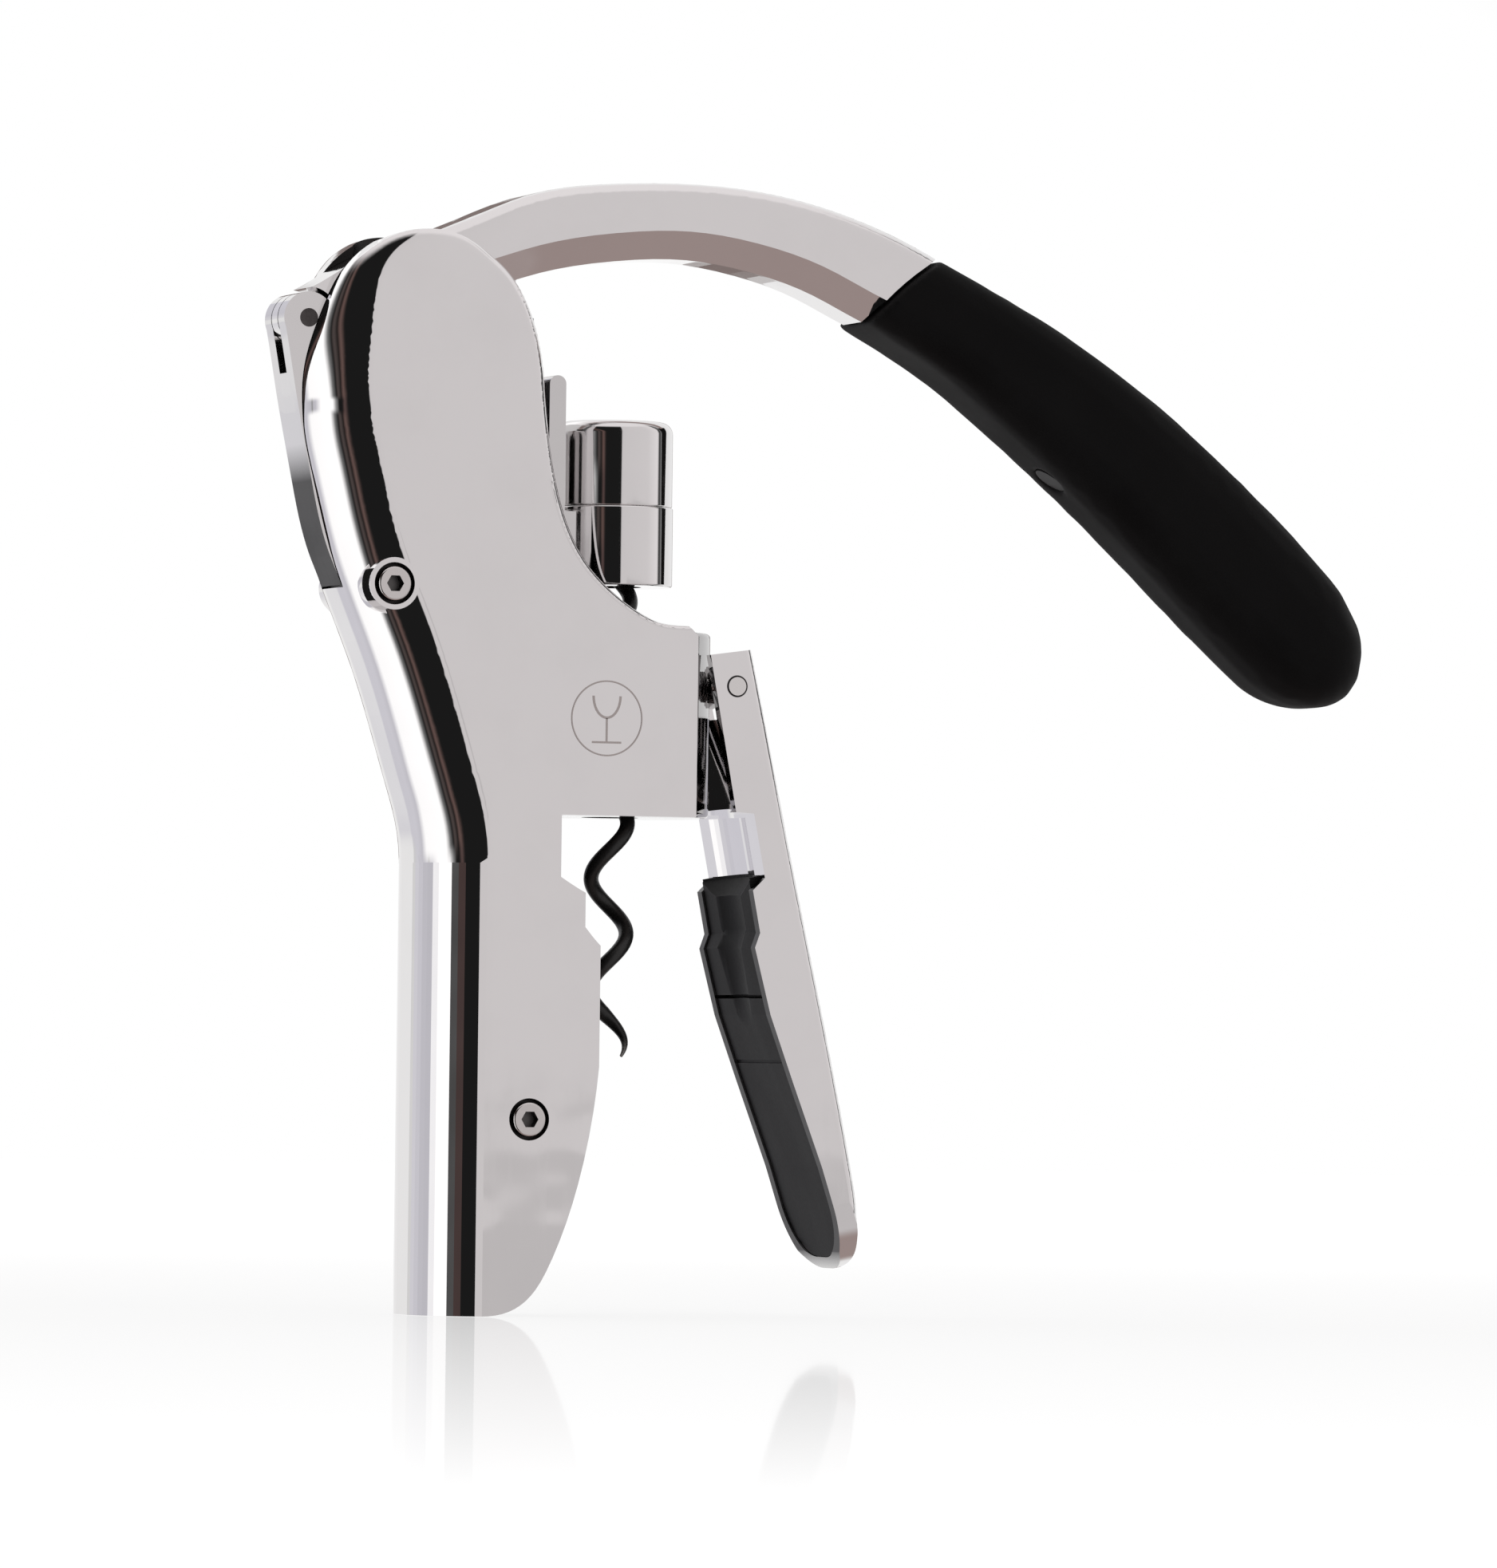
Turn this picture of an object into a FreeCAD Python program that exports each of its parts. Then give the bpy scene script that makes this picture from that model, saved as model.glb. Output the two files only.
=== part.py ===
import FreeCAD, Part
import math
import os
from FreeCAD import Vector

# Lever corkscrew, millimetres. The origin is on the worm's axis, at the head block's
# underside where the bottle's lip seats. +Z runs up the worm, +X points to the handle's
# side and +Y across the tool. The handle is down, so the worm is at its lowest.

# Casing
CASING_WIDTH = 26.0
WALL = 2.2
SPINE_X = -34.6
BASE_Z = -80.8
CREST = (-35.5, 93.8)
SPINE_RADIUS = 10.3
CROWN_RADIUS = 8.6
CREST_RADIUS = 4.8
BROW_RADIUS = 2.0
LIP_RADIUS = 0.8
SLOT_WIDTH = 10.6
SLOT_BOTTOM_Z = 36.0
CHEEK_FRONT_X = 10.2
HEAD_TOP_Z = 31.0

# Bottle neck that the jaws hold
NECK_RADIUS = 14.3
RING_RADIUS = 15.6
LIP_SEAT_RADIUS = 18.3
LIP_DEPTH = 10.0
RING_DEPTH = 18.0

# Head block and worm
NOSE_RADIUS = 16.0
WORM_PITCH = 18.0
WORM_MEAN_RADIUS = 2.9
WORM_WIRE_RADIUS = 1.22
WORM_TIP_Z = -38.7
WORM_TIP_LENGTH = 7.0
NUT_RADIUS = 7.5
NUT_BOTTOM_Z = 5.0
NUT_LENGTH = 20.0

# Carriage
HOUSING_RADIUS = 9.65
HOUSING_BOTTOM_Z = 37.5
HOUSING_HEIGHT = 12.9
CAP_RADIUS = 9.5
CAP_HEIGHT = 13.9
BRACKET_FRONT_X = -12.0
BRACKET_THICKNESS = 2.8
BRACKET_TOP_Z = 71.0
BRACKET_WIDTH = 20.0
RAIL_X = -22.0
RAIL_TOP_Z = 80.0
SHOE_WIDTH = 4.0
SHOE_LENGTH = 10.0
EAR_THICKNESS = 3.2

# Linkage: rocker pivot, lever pivot on the rocker, and the lever's crank pin, whose slot in
# the carriage takes up the pin's rise and forward swing in mid-travel
ROCKER_PIVOT = (-41.8, 36.5)
LEVER_PIVOT = (-54.2, 79.2)
CRANK_LENGTH = 34.0
CRANK_ANGLE = -45.0
PIN_RISE = 1.5
PIN_SWING = 10.8
ROCKER_EAR_RADIUS = 4.2
ROCKER_BOSS_RADIUS = 5.2
ROCKER_GAP = 3.5
ROCKER_GAP_BOTTOM_Z = 70.4
ROCKER_PIN_RADIUS = 1.5
CRANK_PIN_RADIUS = 2.0
AXLE_RADIUS = 2.5

# Lever and handle
ARM_WIDTH = 15.0
ARM_BEVEL_HEIGHT = 4.4
ARM_BEVEL_WIDTH = 3.4
HANDLE_WIDTH = 21.0
TANG_WIDTH = 8.0
TANG_DEPTH = 7.0

# Clamping grip, drawn closed on the neck and then swung open
GRIP_PIVOT = (17.0, 21.4)
GRIP_PIN_RADIUS = 1.5
GRIP_OPEN_ANGLE = 11.0
GRIP_PLATE = 2.0
GRIP_FRONT_RADIUS = 1.5
GRIP_BACK_X = 19.2
GRIP_TOE_Z = -75.4
GRIP_TOE_RADIUS = 11.0
PAD_RECESS = 0.4
PAD_GROOVE_X = 15.2

# Fasteners
SCREW_RADIUS = 1.5
SCREW_HEAD_RADIUS = 2.75
SCREW_HEAD_HEIGHT = 3.0
HEX_RADIUS = 1.45
BOSS_RADIUS = 4.2
BOSS_REACH = 3.0
COUNTERBORE_RADIUS = 3.4
LOWER_SCREW = (-17.8, -49.1)

# Clearances
RUNNING = 0.05
GAP = 0.3
PIN_FIT = 0.06

HALF_WIDTH = CASING_WIDTH / 2
INNER_HALF = HALF_WIDTH - WALL


def at(point, y=0.0):
    return Vector(point[0], y, point[1])


def curve(points, start, end):
    spline = Part.BSplineCurve()
    spline.interpolate(Points=[at(p) for p in points], InitialTangent=at(start), FinalTangent=at(end))
    return [spline.toShape()]


def lines(*points):
    return [Part.makeLine(at(a), at(b)) for a, b in zip(points, points[1:])]


def extrude(edges, low_y, high_y):
    """Solid between two planes across the tool, from a closed outline in the XZ plane."""
    wire = Part.Wire(Part.__sortEdges__(edges))
    face = Part.Face(wire)
    face.translate(Vector(0, low_y, 0))
    return face.extrude(Vector(0, high_y - low_y, 0))


def prism(points, low_y, high_y):
    return extrude(lines(*points, points[0]), low_y, high_y)


def box(low, high):
    size = [b - a for a, b in zip(low, high)]
    return Part.makeBox(*size, Vector(*low))


def rod_y(centre, radius, low_y, high_y):
    return Part.makeCylinder(radius, high_y - low_y, at(centre, low_y), Vector(0, 1, 0))


def rod_z(radius, low_z, high_z):
    return Part.makeCylinder(radius, high_z - low_z, Vector(0, 0, low_z))


def ring_z(outer, inner, low_z, high_z):
    return rod_z(outer, low_z, high_z).cut(rod_z(inner, low_z, high_z))


def sleeve_y(centre, outer, inner, low_y, high_y):
    return rod_y(centre, outer, low_y, high_y).cut(rod_y(centre, inner, low_y, high_y))


def mirrored(shape):
    return shape.mirror(Vector(0, 0, 0), Vector(0, 1, 0))


def both_sides(shape):
    return [shape, mirrored(shape)]


def turned(point, centre, degrees):
    """Point swung in the XZ plane about a centre, anticlockwise with +X right and +Z up."""
    c = math.cos(math.radians(degrees))
    s = math.sin(math.radians(degrees))
    x = point[0] - centre[0]
    z = point[1] - centre[1]
    return (centre[0] + x * c - z * s, centre[1] + x * s + z * c)


def rounded(shape, radii):
    """Fillets whose radius runs along each chosen edge: radii(point) gives it at a point, or None."""
    document = FreeCAD.newDocument()
    base = document.addObject("Part::Feature", "base")
    base.Shape = shape
    fillet = document.addObject("Part::Fillet", "fillet")
    fillet.Base = base
    chosen = []
    for number, edge in enumerate(shape.Edges, 1):
        middle = edge.valueAt((edge.FirstParameter + edge.LastParameter) / 2)
        if radii(middle) is not None:
            ends = [edge.valueAt(edge.FirstParameter), edge.valueAt(edge.LastParameter)]
            chosen.append((number, radii(ends[0]) or radii(middle), radii(ends[1]) or radii(middle)))
    fillet.Edges = chosen
    document.recompute()
    result = fillet.Shape.copy()
    FreeCAD.closeDocument(document.Name)
    if result.isNull() or not result.Solids:
        raise ValueError("fillet failed")
    return result


def flat_edge(point, half):
    return abs(abs(point.y) - half) < 0.01


def write(name, *shapes):
    solids = [solid for shape in shapes for solid in shape.Solids]
    for solid in solids:
        if not solid.isValid() or solid.Volume <= 0:
            print("check", name, solid.isValid(), solid.Volume)
    whole = solids[0] if len(solids) == 1 else Part.makeCompound(solids)
    whole.exportStep("parts/" + name + ".step")
    print(name, len(solids), round(sum(s.Volume for s in solids) / 1000, 2))


# ---------------------------------------------------------------- casing

REAR = [(SPINE_X, -8.0), (-37.2, 5.0), (-43.4, 24.0), (-50.1, 41.0), (-53.8, 55.0), (-55.4, 67.0)]
REAR_CROWN = [REAR[-1], (-52.6, 79.0), (-46.0, 90.0), CREST]
FRONT_CROWN = [CREST, (-25.0, 89.4), (-19.0, 81.5), (-16.2, 69.0)]
BROW = [FRONT_CROWN[-1], (-13.9, 52.8), (-8.2, 40.0), (2.2, HEAD_TOP_Z + 1.0), (8.6, HEAD_TOP_Z)]
TOE = [(-5.5, -30.0), (-8.2, -55.0), (-14.0, -72.4), (-25.4, BASE_Z)]


def rear_edge():
    return curve(REAR, (0, 30), (0, 14))


def casing_outline():
    corner = (CHEEK_FRONT_X, HEAD_TOP_Z - 1.6)
    return [
        *lines((SPINE_X, BASE_Z), REAR[0]),
        *rear_edge(),
        *curve(REAR_CROWN[:3], (0, 12), (7, 6)),
        *curve(REAR_CROWN[2:], (7, 6), (12, 0)),
        *curve(FRONT_CROWN[:2], (12, 0), (8, -6)),
        *curve(FRONT_CROWN[1:], (8, -6), (1, -14)),
        *curve(BROW, (1, -14), (8, 0)),
        *lines(BROW[-1], corner, (CHEEK_FRONT_X, 0.0), (TOE[0][0], 0.0), TOE[0]),
        *curve(TOE, (0, -25), (-14, 0)),
        *lines(TOE[-1], (SPINE_X, BASE_Z)),
    ]


def casing_radius(point):
    """The spine's big corner radius shrinks over the crest and fades along the front brow."""
    if not flat_edge(point, HALF_WIDTH) or point.z < BASE_Z + 0.5 and point.x > SPINE_X + 0.5:
        return None
    if point.x < CREST[0] - 0.01 and point.z > REAR_CROWN[2][1] - 0.01:
        return CROWN_RADIUS
    if point.x <= CREST[0] - 0.01 and (point.x < SPINE_X + 0.1 or point.z > CREST[1] - 40):
        return SPINE_RADIUS
    if abs(point.x - CREST[0]) < 0.01:
        return CREST_RADIUS
    if point.z > HEAD_TOP_Z + 2 and point.x > CREST[0]:
        return BROW_RADIUS
    if point.z > HEAD_TOP_Z - 0.1 and point.x > BROW[0][0]:
        return LIP_RADIUS
    return None


def neck_tool(shrink=0.0):
    """Space of the bottle's lip, ring and neck below the head block."""
    profile = [(0, 0.01), (LIP_SEAT_RADIUS, 0.01), (LIP_SEAT_RADIUS, -LIP_DEPTH)]
    profile += [(RING_RADIUS, -LIP_DEPTH - 2.5), (RING_RADIUS, -RING_DEPTH)]
    profile += [(NECK_RADIUS, -RING_DEPTH - 3.0), (NECK_RADIUS, BASE_Z - 5), (0, BASE_Z - 5)]
    cut = [(max(x - shrink, 0), z) for x, z in profile]
    face = Part.Face(Part.Wire(lines(*cut, cut[0])))
    return face.revolve(Vector(0, 0, 0), Vector(0, 0, 1), 360)


def casing_cavity():
    """Room between the cheeks: a wall in from the spine, open to the top and to the front."""
    inner_x = SPINE_X + WALL
    inner = [(x + WALL, z) for x, z in REAR]
    high = CREST[1] + 10
    edges = [
        *lines((inner_x, BASE_Z + WALL), inner[0]),
        *curve(inner, (0, 30), (0, 14)),
        *lines(inner[-1], (-50.2, 79.0), (-44.0, 88.0), (-44.0, high), (40, high)),
        *lines((40, high), (40, BASE_Z + WALL), (inner_x, BASE_Z + WALL)),
    ]
    room = extrude(edges, -INNER_HALF, INNER_HALF)

    def spine_only(point):
        low = point.x < inner_x + 0.1 or (point.z > -8 and point.x < -44 and point.z < 67.1)
        on_side = flat_edge(point, INNER_HALF)
        return SPINE_RADIUS - WALL if on_side and low and point.z > BASE_Z + WALL - 0.01 else None

    return rounded(room, spine_only)


def casing():
    """Near half of the shell; the far half is its mirror image."""
    half = rounded(extrude(casing_outline(), -HALF_WIDTH, 0.0), casing_radius)
    boss = rod_y(ROCKER_PIVOT, BOSS_RADIUS, -HALF_WIDTH, -INNER_HALF + BOSS_REACH)
    half = half.fuse(boss).cut(casing_cavity())
    for centre in (ROCKER_PIVOT, LOWER_SCREW):
        half = half.fuse(rod_y(centre, BOSS_RADIUS + 0.6, -INNER_HALF, -screw_seat()))
    slot = box((-70, -SLOT_WIDTH / 2, SLOT_BOTTOM_Z), (CREST[0] + 20, SLOT_WIDTH / 2, CREST[1] + 5))
    half = half.cut([
        slot,
        neck_tool(),
        rod_y(ROCKER_PIVOT, ROCKER_BOSS_RADIUS + GAP, -SLOT_WIDTH / 2, SLOT_WIDTH / 2),
        rod_y(ROCKER_PIVOT, axle_spacer_radius() + RUNNING, -screw_seat(), 0),
    ])
    for centre in (ROCKER_PIVOT, LOWER_SCREW):
        half = half.cut([
            rod_y(centre, SCREW_RADIUS + RUNNING, -HALF_WIDTH - 1, 0),
            rod_y(centre, COUNTERBORE_RADIUS, -HALF_WIDTH - 1, -HALF_WIDTH + counterbore_depth()),
        ])
    return half.removeSplitter()


def counterbore_depth():
    return SCREW_HEAD_HEIGHT - 0.4


def screw_seat():
    """Inner end of a screw boss: a wall's thickness under the head's seat."""
    return HALF_WIDTH - counterbore_depth() - WALL + 0.4


# ---------------------------------------------------------------- screws and pins

def socket_screw(centre, length):
    """Socket-cap screw on the near side, its shank running inwards along +Y."""
    seat = -(HALF_WIDTH - counterbore_depth())
    head = rod_y(centre, SCREW_HEAD_RADIUS, seat - SCREW_HEAD_HEIGHT, seat)
    rim = [e for e in head.Edges if abs(e.BoundBox.YMax - (seat - SCREW_HEAD_HEIGHT)) < 0.01]
    head = head.makeFillet(0.35, [e for e in rim if e.BoundBox.YLength < 0.01])
    hexagon = [turned((centre[0] + HEX_RADIUS, centre[1]), centre, 60 * i) for i in range(6)]
    head = head.cut(prism(hexagon, seat - SCREW_HEAD_HEIGHT - 1, seat - 1.2))
    return head.fuse(rod_y(centre, SCREW_RADIUS, seat, seat + length))


def axle_tube():
    reach = screw_seat()
    return sleeve_y(ROCKER_PIVOT, AXLE_RADIUS, SCREW_RADIUS + RUNNING, -reach, reach)


def axle_spacer():
    inner = SLOT_WIDTH / 2 - GAP / 2
    return sleeve_y(ROCKER_PIVOT, axle_spacer_radius(), AXLE_RADIUS + RUNNING, -screw_seat(), -inner)


def axle_spacer_radius():
    return AXLE_RADIUS + 1.6


def lower_spacer():
    reach = screw_seat()
    return sleeve_y(LOWER_SCREW, AXLE_RADIUS + 0.8, SCREW_RADIUS + RUNNING, -reach, reach)


# ---------------------------------------------------------------- head block

def head_block():
    rear = BRACKET_FRONT_X + GAP
    core = box((rear, -INNER_HALF, 0), (CHEEK_FRONT_X, INNER_HALF, HEAD_TOP_Z - 2.0))
    nose = rod_z(NOSE_RADIUS, 0, HEAD_TOP_Z - 1.0)
    nose = nose.common(box((CHEEK_FRONT_X, -HALF_WIDTH, 0), (30, HALF_WIDTH, HEAD_TOP_Z)))
    front = [e for e in nose.Edges if e.BoundBox.ZLength < 0.01 and e.BoundBox.XMax > NOSE_RADIUS - 0.1]
    nose = nose.makeFillet(0.7, front)
    lug = rod_y(GRIP_PIVOT, lug_radius(), -lug_half(), lug_half())
    neck = box((CHEEK_FRONT_X, -lug_half(), GRIP_PIVOT[1] - lug_radius()),
               (GRIP_PIVOT[0], lug_half(), GRIP_PIVOT[1] + lug_radius()))
    block = core.fuse([nose, lug, neck])
    block = block.cut([
        rod_z(worm_clear_radius(), -1, 50),
        rod_z(NUT_RADIUS + RUNNING, NUT_BOTTOM_Z, 50),
        rod_y(GRIP_PIVOT, GRIP_PIN_RADIUS, -20, 20),
    ])
    return block.removeSplitter()


def lug_radius():
    return GRIP_PIN_RADIUS + 1.9


def lug_half():
    return 5.7


def worm_clear_radius():
    return WORM_MEAN_RADIUS + WORM_WIRE_RADIUS + 0.5


def helix_wire(low_z, high_z):
    """Right-hand helix about +Z whose phase depends on height alone, so that all of them match."""
    spiral = Part.makeHelix(WORM_PITCH, high_z - low_z, WORM_MEAN_RADIUS)
    spiral.translate(Vector(0, 0, low_z))
    spiral.rotate(Vector(0, 0, 0), Vector(0, 0, 1), worm_phase(low_z))
    return spiral


def worm_phase(z):
    """Angle of the wire at a height: it crosses towards +X at the height of one front bulge."""
    bulge_z = -1.0
    view_angle = -22.0
    return view_angle + 360.0 * (z - bulge_z) / WORM_PITCH


def helix_section(z, radius):
    angle = math.radians(worm_phase(z))
    centre = Vector(WORM_MEAN_RADIUS * math.cos(angle), WORM_MEAN_RADIUS * math.sin(angle), z)
    rise = WORM_PITCH / (2 * math.pi)
    along = Vector(-WORM_MEAN_RADIUS * math.sin(angle), WORM_MEAN_RADIUS * math.cos(angle), rise)
    return Part.Wire(Part.makeCircle(radius, centre, along))


def helix_solid(low_z, high_z, radius, low_radius=None):
    path = Part.Wire(helix_wire(low_z, high_z).Edges)
    sections = [helix_section(low_z, low_radius or radius)]
    if low_radius:
        sections.append(helix_section(high_z, radius))
    return path.makePipeShell(sections, True, True)


def worm():
    tip_top = WORM_TIP_Z + WORM_TIP_LENGTH
    body = helix_solid(tip_top, worm_head_bottom() + 1.5, WORM_WIRE_RADIUS)
    tip = helix_solid(WORM_TIP_Z, tip_top, WORM_WIRE_RADIUS, 0.25)
    return body.fuse(tip)


def worm_nut():
    top = NUT_BOTTOM_Z + NUT_LENGTH
    passage = helix_solid(NUT_BOTTOM_Z - 3, top + 3, WORM_WIRE_RADIUS + 0.35)
    return rod_z(NUT_RADIUS, NUT_BOTTOM_Z, top).cut(passage)


def nut_retainer():
    low = NUT_BOTTOM_Z + NUT_LENGTH
    return ring_z(NUT_RADIUS, worm_clear_radius(), low, low + 2.0)


# ---------------------------------------------------------------- jaw lining and rails

def rear_jaw_pad():
    inner_x = SPINE_X + WALL
    half = INNER_HALF
    outline = [(inner_x, BASE_Z + WALL), (TOE[-1][0] - 2.0, BASE_Z + WALL), (-15.5, -70.0),
               (-9.6, -50.0), (-7.0, -30.0), (-7.0, -1.0), (inner_x, -1.0)]
    pad = prism(outline, -half, half)
    spine = [e for e in pad.Edges if e.BoundBox.XMax < inner_x + 0.01 and e.BoundBox.ZLength > 10]
    pad = pad.makeFillet(SPINE_RADIUS - WALL + RUNNING, spine)
    pad = pad.cut([neck_tool(GAP), rod_y(LOWER_SCREW, BOSS_RADIUS + 0.7, -half - 1, half + 1)])
    return pad


def guide_rail():
    """Channel on the near cheek; its open side faces the middle."""
    half = SHOE_WIDTH / 2 + GAP
    wall = 1.7
    low, high = -INNER_HALF, -rail_face()
    rail = box((RAIL_X - half - wall, low, 1.0), (RAIL_X + half + wall, high, RAIL_TOP_Z))
    return rail.cut(box((RAIL_X - half, low + rail_floor(), 0), (RAIL_X + half, high + 1, RAIL_TOP_Z + 1)))


def rail_floor():
    return 0.6


def rail_face():
    return INNER_HALF - 2.5


def shoe_bottom():
    return 4.0


def rail_bumper():
    high = -rail_face() - GAP
    low = -INNER_HALF + rail_floor()
    half = SHOE_WIDTH / 2
    return box((RAIL_X - half, low, 1.0), (RAIL_X + half, high, shoe_bottom() - GAP))


# ---------------------------------------------------------------- carriage

def crank_pin_centre():
    return turned((LEVER_PIVOT[0] + CRANK_LENGTH, LEVER_PIVOT[1]), LEVER_PIVOT, CRANK_ANGLE)


def carriage_bracket():
    front = BRACKET_FRONT_X
    rear = front - BRACKET_THICKNESS
    half = BRACKET_WIDTH / 2
    plate = box((rear, -half, shoe_bottom()), (front, half, BRACKET_TOP_Z))
    top = [e for e in plate.Edges if abs(e.BoundBox.ZMin - BRACKET_TOP_Z) < 0.01 and e.BoundBox.XLength < 0.01]
    plate = plate.makeFillet(BRACKET_THICKNESS / 2 - 0.05, top)
    saddle = box((front, -5.0, HOUSING_BOTTOM_Z + 1.0), (-HOUSING_RADIUS + 1.6, 5.0, housing_top() - 1.0))
    saddle = saddle.cut(rod_z(HOUSING_RADIUS, 0, 100))
    pin = crank_pin_centre()
    slot_half = CRANK_PIN_RADIUS + PIN_RISE + GAP
    slot_low = pin[0] - CRANK_PIN_RADIUS - GAP
    slot_high = pin[0] + PIN_SWING + CRANK_PIN_RADIUS + GAP
    wings = []
    shoes = 2 * SHOE_LENGTH + 6.0
    for side in (-1, 1):
        ear_low = min(side * ear_inner(), side * (ear_inner() + EAR_THICKNESS))
        ear = box((slot_low - 2.6, ear_low, pin[1] - slot_half - 2.8),
                  (rear, ear_low + EAR_THICKNESS, pin[1] + slot_half + 2.8))
        ear = ear.cut(box((slot_low, ear_low - 1, pin[1] - slot_half),
                          (slot_high, ear_low + EAR_THICKNESS + 1, pin[1] + slot_half)))
        flange_low = min(side * shoe_face(), side * (shoe_face() - 1.2))
        flange = box((RAIL_X - SHOE_WIDTH / 2 - 0.5, flange_low, shoe_bottom()),
                     (rear, flange_low + 1.2, shoe_bottom() + shoes))
        wings += [ear, flange]
    bracket = plate.fuse(wings + [saddle])
    screws = [rod_x(z, SCREW_RADIUS + RUNNING, rear - 1, -6) for z in housing_screw_heights()]
    return bracket.cut(screws).removeSplitter()


def rod_x(z, radius, low_x, high_x):
    return Part.makeCylinder(radius, high_x - low_x, Vector(low_x, 0, z), Vector(1, 0, 0))


def ear_inner():
    """Inner face of the bracket's ears, clear of the lever's crank plate."""
    return crank_half() + 0.4


def crank_half():
    return 3.0


def shoe_face():
    """Where the shoes sit on the bracket's flanges, just inside the rails."""
    return rail_face() - GAP


def housing_top():
    return HOUSING_BOTTOM_Z + HOUSING_HEIGHT


def cap_top():
    return housing_top() + CAP_HEIGHT


def housing_screw_heights():
    return (HOUSING_BOTTOM_Z + 3.9, housing_top() - 3.2)


def worm_head_bottom():
    return HOUSING_BOTTOM_Z + 3.2


def housing_bore_radius():
    return HOUSING_RADIUS - 2.1


def worm_housing():
    body = rod_z(HOUSING_RADIUS, HOUSING_BOTTOM_Z, housing_top())
    rims = [e for e in body.Edges if e.BoundBox.ZLength < 0.01 and e.BoundBox.XLength > 1]
    body = body.makeFillet(0.35, rims)
    body = body.cut([
        rod_z(housing_bore_radius(), HOUSING_BOTTOM_Z + 2.0, housing_top() + 1),
        rod_z(worm_clear_radius(), HOUSING_BOTTOM_Z - 1, HOUSING_BOTTOM_Z + 3),
    ])
    return body.cut([rod_x(z, SCREW_RADIUS + RUNNING, -12, -6) for z in housing_screw_heights()])


def worm_cap():
    body = rod_z(CAP_RADIUS, housing_top(), cap_top())
    top = [e for e in body.Edges if e.BoundBox.ZMin > cap_top() - 0.01]
    body = body.makeFillet(2.0, top)
    bottom = [e for e in body.Edges if e.BoundBox.ZMax < housing_top() + 0.01 and e.BoundBox.XLength > 1]
    body = body.makeFillet(0.3, bottom)
    return body.cut(rod_z(housing_bore_radius(), housing_top() - 1, cap_top() - 2.2))


def guide_shoes():
    half = SHOE_WIDTH / 2
    low = -INNER_HALF + rail_floor() + GAP
    shoes = []
    for bottom in (shoe_bottom(), shoe_bottom() + SHOE_LENGTH + 6.0):
        shoe = box((RAIL_X - half, low, bottom), (RAIL_X + half, -shoe_face(), bottom + SHOE_LENGTH))
        shoes += both_sides(shoe)
    return shoes


def thrust_washer():
    low = HOUSING_BOTTOM_Z + 2.0
    return ring_z(housing_bore_radius() - 0.2, worm_clear_radius(), low, low + 1.0)


def bearing_bush():
    low = housing_top()
    return ring_z(housing_bore_radius(), HUB_RADIUS + PIN_FIT, low, low + 3.4)


def housing_screw(z):
    """Screw from behind the bracket into the housing's wall."""
    rear = BRACKET_FRONT_X - BRACKET_THICKNESS
    shank = rod_x(z, SCREW_RADIUS, rear, -housing_bore_radius() - 0.1)
    head = Part.makeCylinder(SCREW_RADIUS + 1.0, 1.4, Vector(rear - 1.4, 0, z), Vector(1, 0, 0))
    return head.fuse(shank)


# ---------------------------------------------------------------- worm's head

HUB_RADIUS = 3.0


def worm_head():
    low = worm_head_bottom()
    disc = rod_z(housing_bore_radius() - GAP, low, low + 3.2)
    hub = rod_z(HUB_RADIUS, low + 3.2, housing_top() + 6.0)
    groove = ring_z(HUB_RADIUS + 1, HUB_RADIUS - 0.5, housing_top() + 3.7, housing_top() + 4.7)
    return disc.fuse(hub).cut(groove)


def head_clip():
    low = housing_top() + 3.8
    ring = ring_z(HUB_RADIUS + 1.6, HUB_RADIUS - 0.5, low, low + 0.8)
    return ring.cut(box((0, -1.2, low - 1), (10, 1.2, low + 2)))


# ---------------------------------------------------------------- rocker

def rocker_link():
    half = SLOT_WIDTH / 2 - GAP
    pivot, top = ROCKER_PIVOT, LEVER_PIVOT
    lean = math.degrees(math.atan2(top[1] - pivot[1], top[0] - pivot[0]))
    rear_top = turned((top[0] + ROCKER_EAR_RADIUS, top[1]), top, lean + 96)
    front_top = turned((top[0] + ROCKER_EAR_RADIUS, top[1]), top, lean - 90)
    front_low = turned((pivot[0] + ROCKER_BOSS_RADIUS, pivot[1]), pivot, lean - 90)
    sharp = (-48.2, SLOT_BOTTOM_Z + 0.4)
    side = [
        *curve([sharp, (-50.1, 41.0), (-53.8, 55.0), (-56.2, 67.0), rear_top], (-3, 9), (-2, 10)),
        *lines(rear_top, front_top, front_low, (pivot[0] - 3.6, sharp[1]), sharp),
    ]
    link = extrude(side, -half, half)
    link = link.fuse([rod_y(pivot, ROCKER_BOSS_RADIUS, -half, half), rod_y(top, ROCKER_EAR_RADIUS, -half, half)])
    gap = box((-70, -ROCKER_GAP / 2, ROCKER_GAP_BOTTOM_Z), (-40, ROCKER_GAP / 2, 100))
    link = link.cut([
        gap,
        rod_y(pivot, bush_outer(), -20, 20),
        rod_y(top, ROCKER_PIN_RADIUS, -20, 20),
    ])
    return link.removeSplitter()


def bush_outer():
    return AXLE_RADIUS + 1.1


def rocker_bush():
    return sleeve_y(ROCKER_PIVOT, bush_outer(), AXLE_RADIUS + PIN_FIT, -(SLOT_WIDTH / 2 - GAP), -0.4)


def rocker_pin():
    half = SLOT_WIDTH / 2 - GAP
    return rod_y(LEVER_PIVOT, ROCKER_PIN_RADIUS, -half - 0.05, half + 0.05)


# ---------------------------------------------------------------- lever and handle

JUNCTION_TOP = (53.5, 92.6)
JUNCTION_LOW = (41.2, 81.9)


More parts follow.
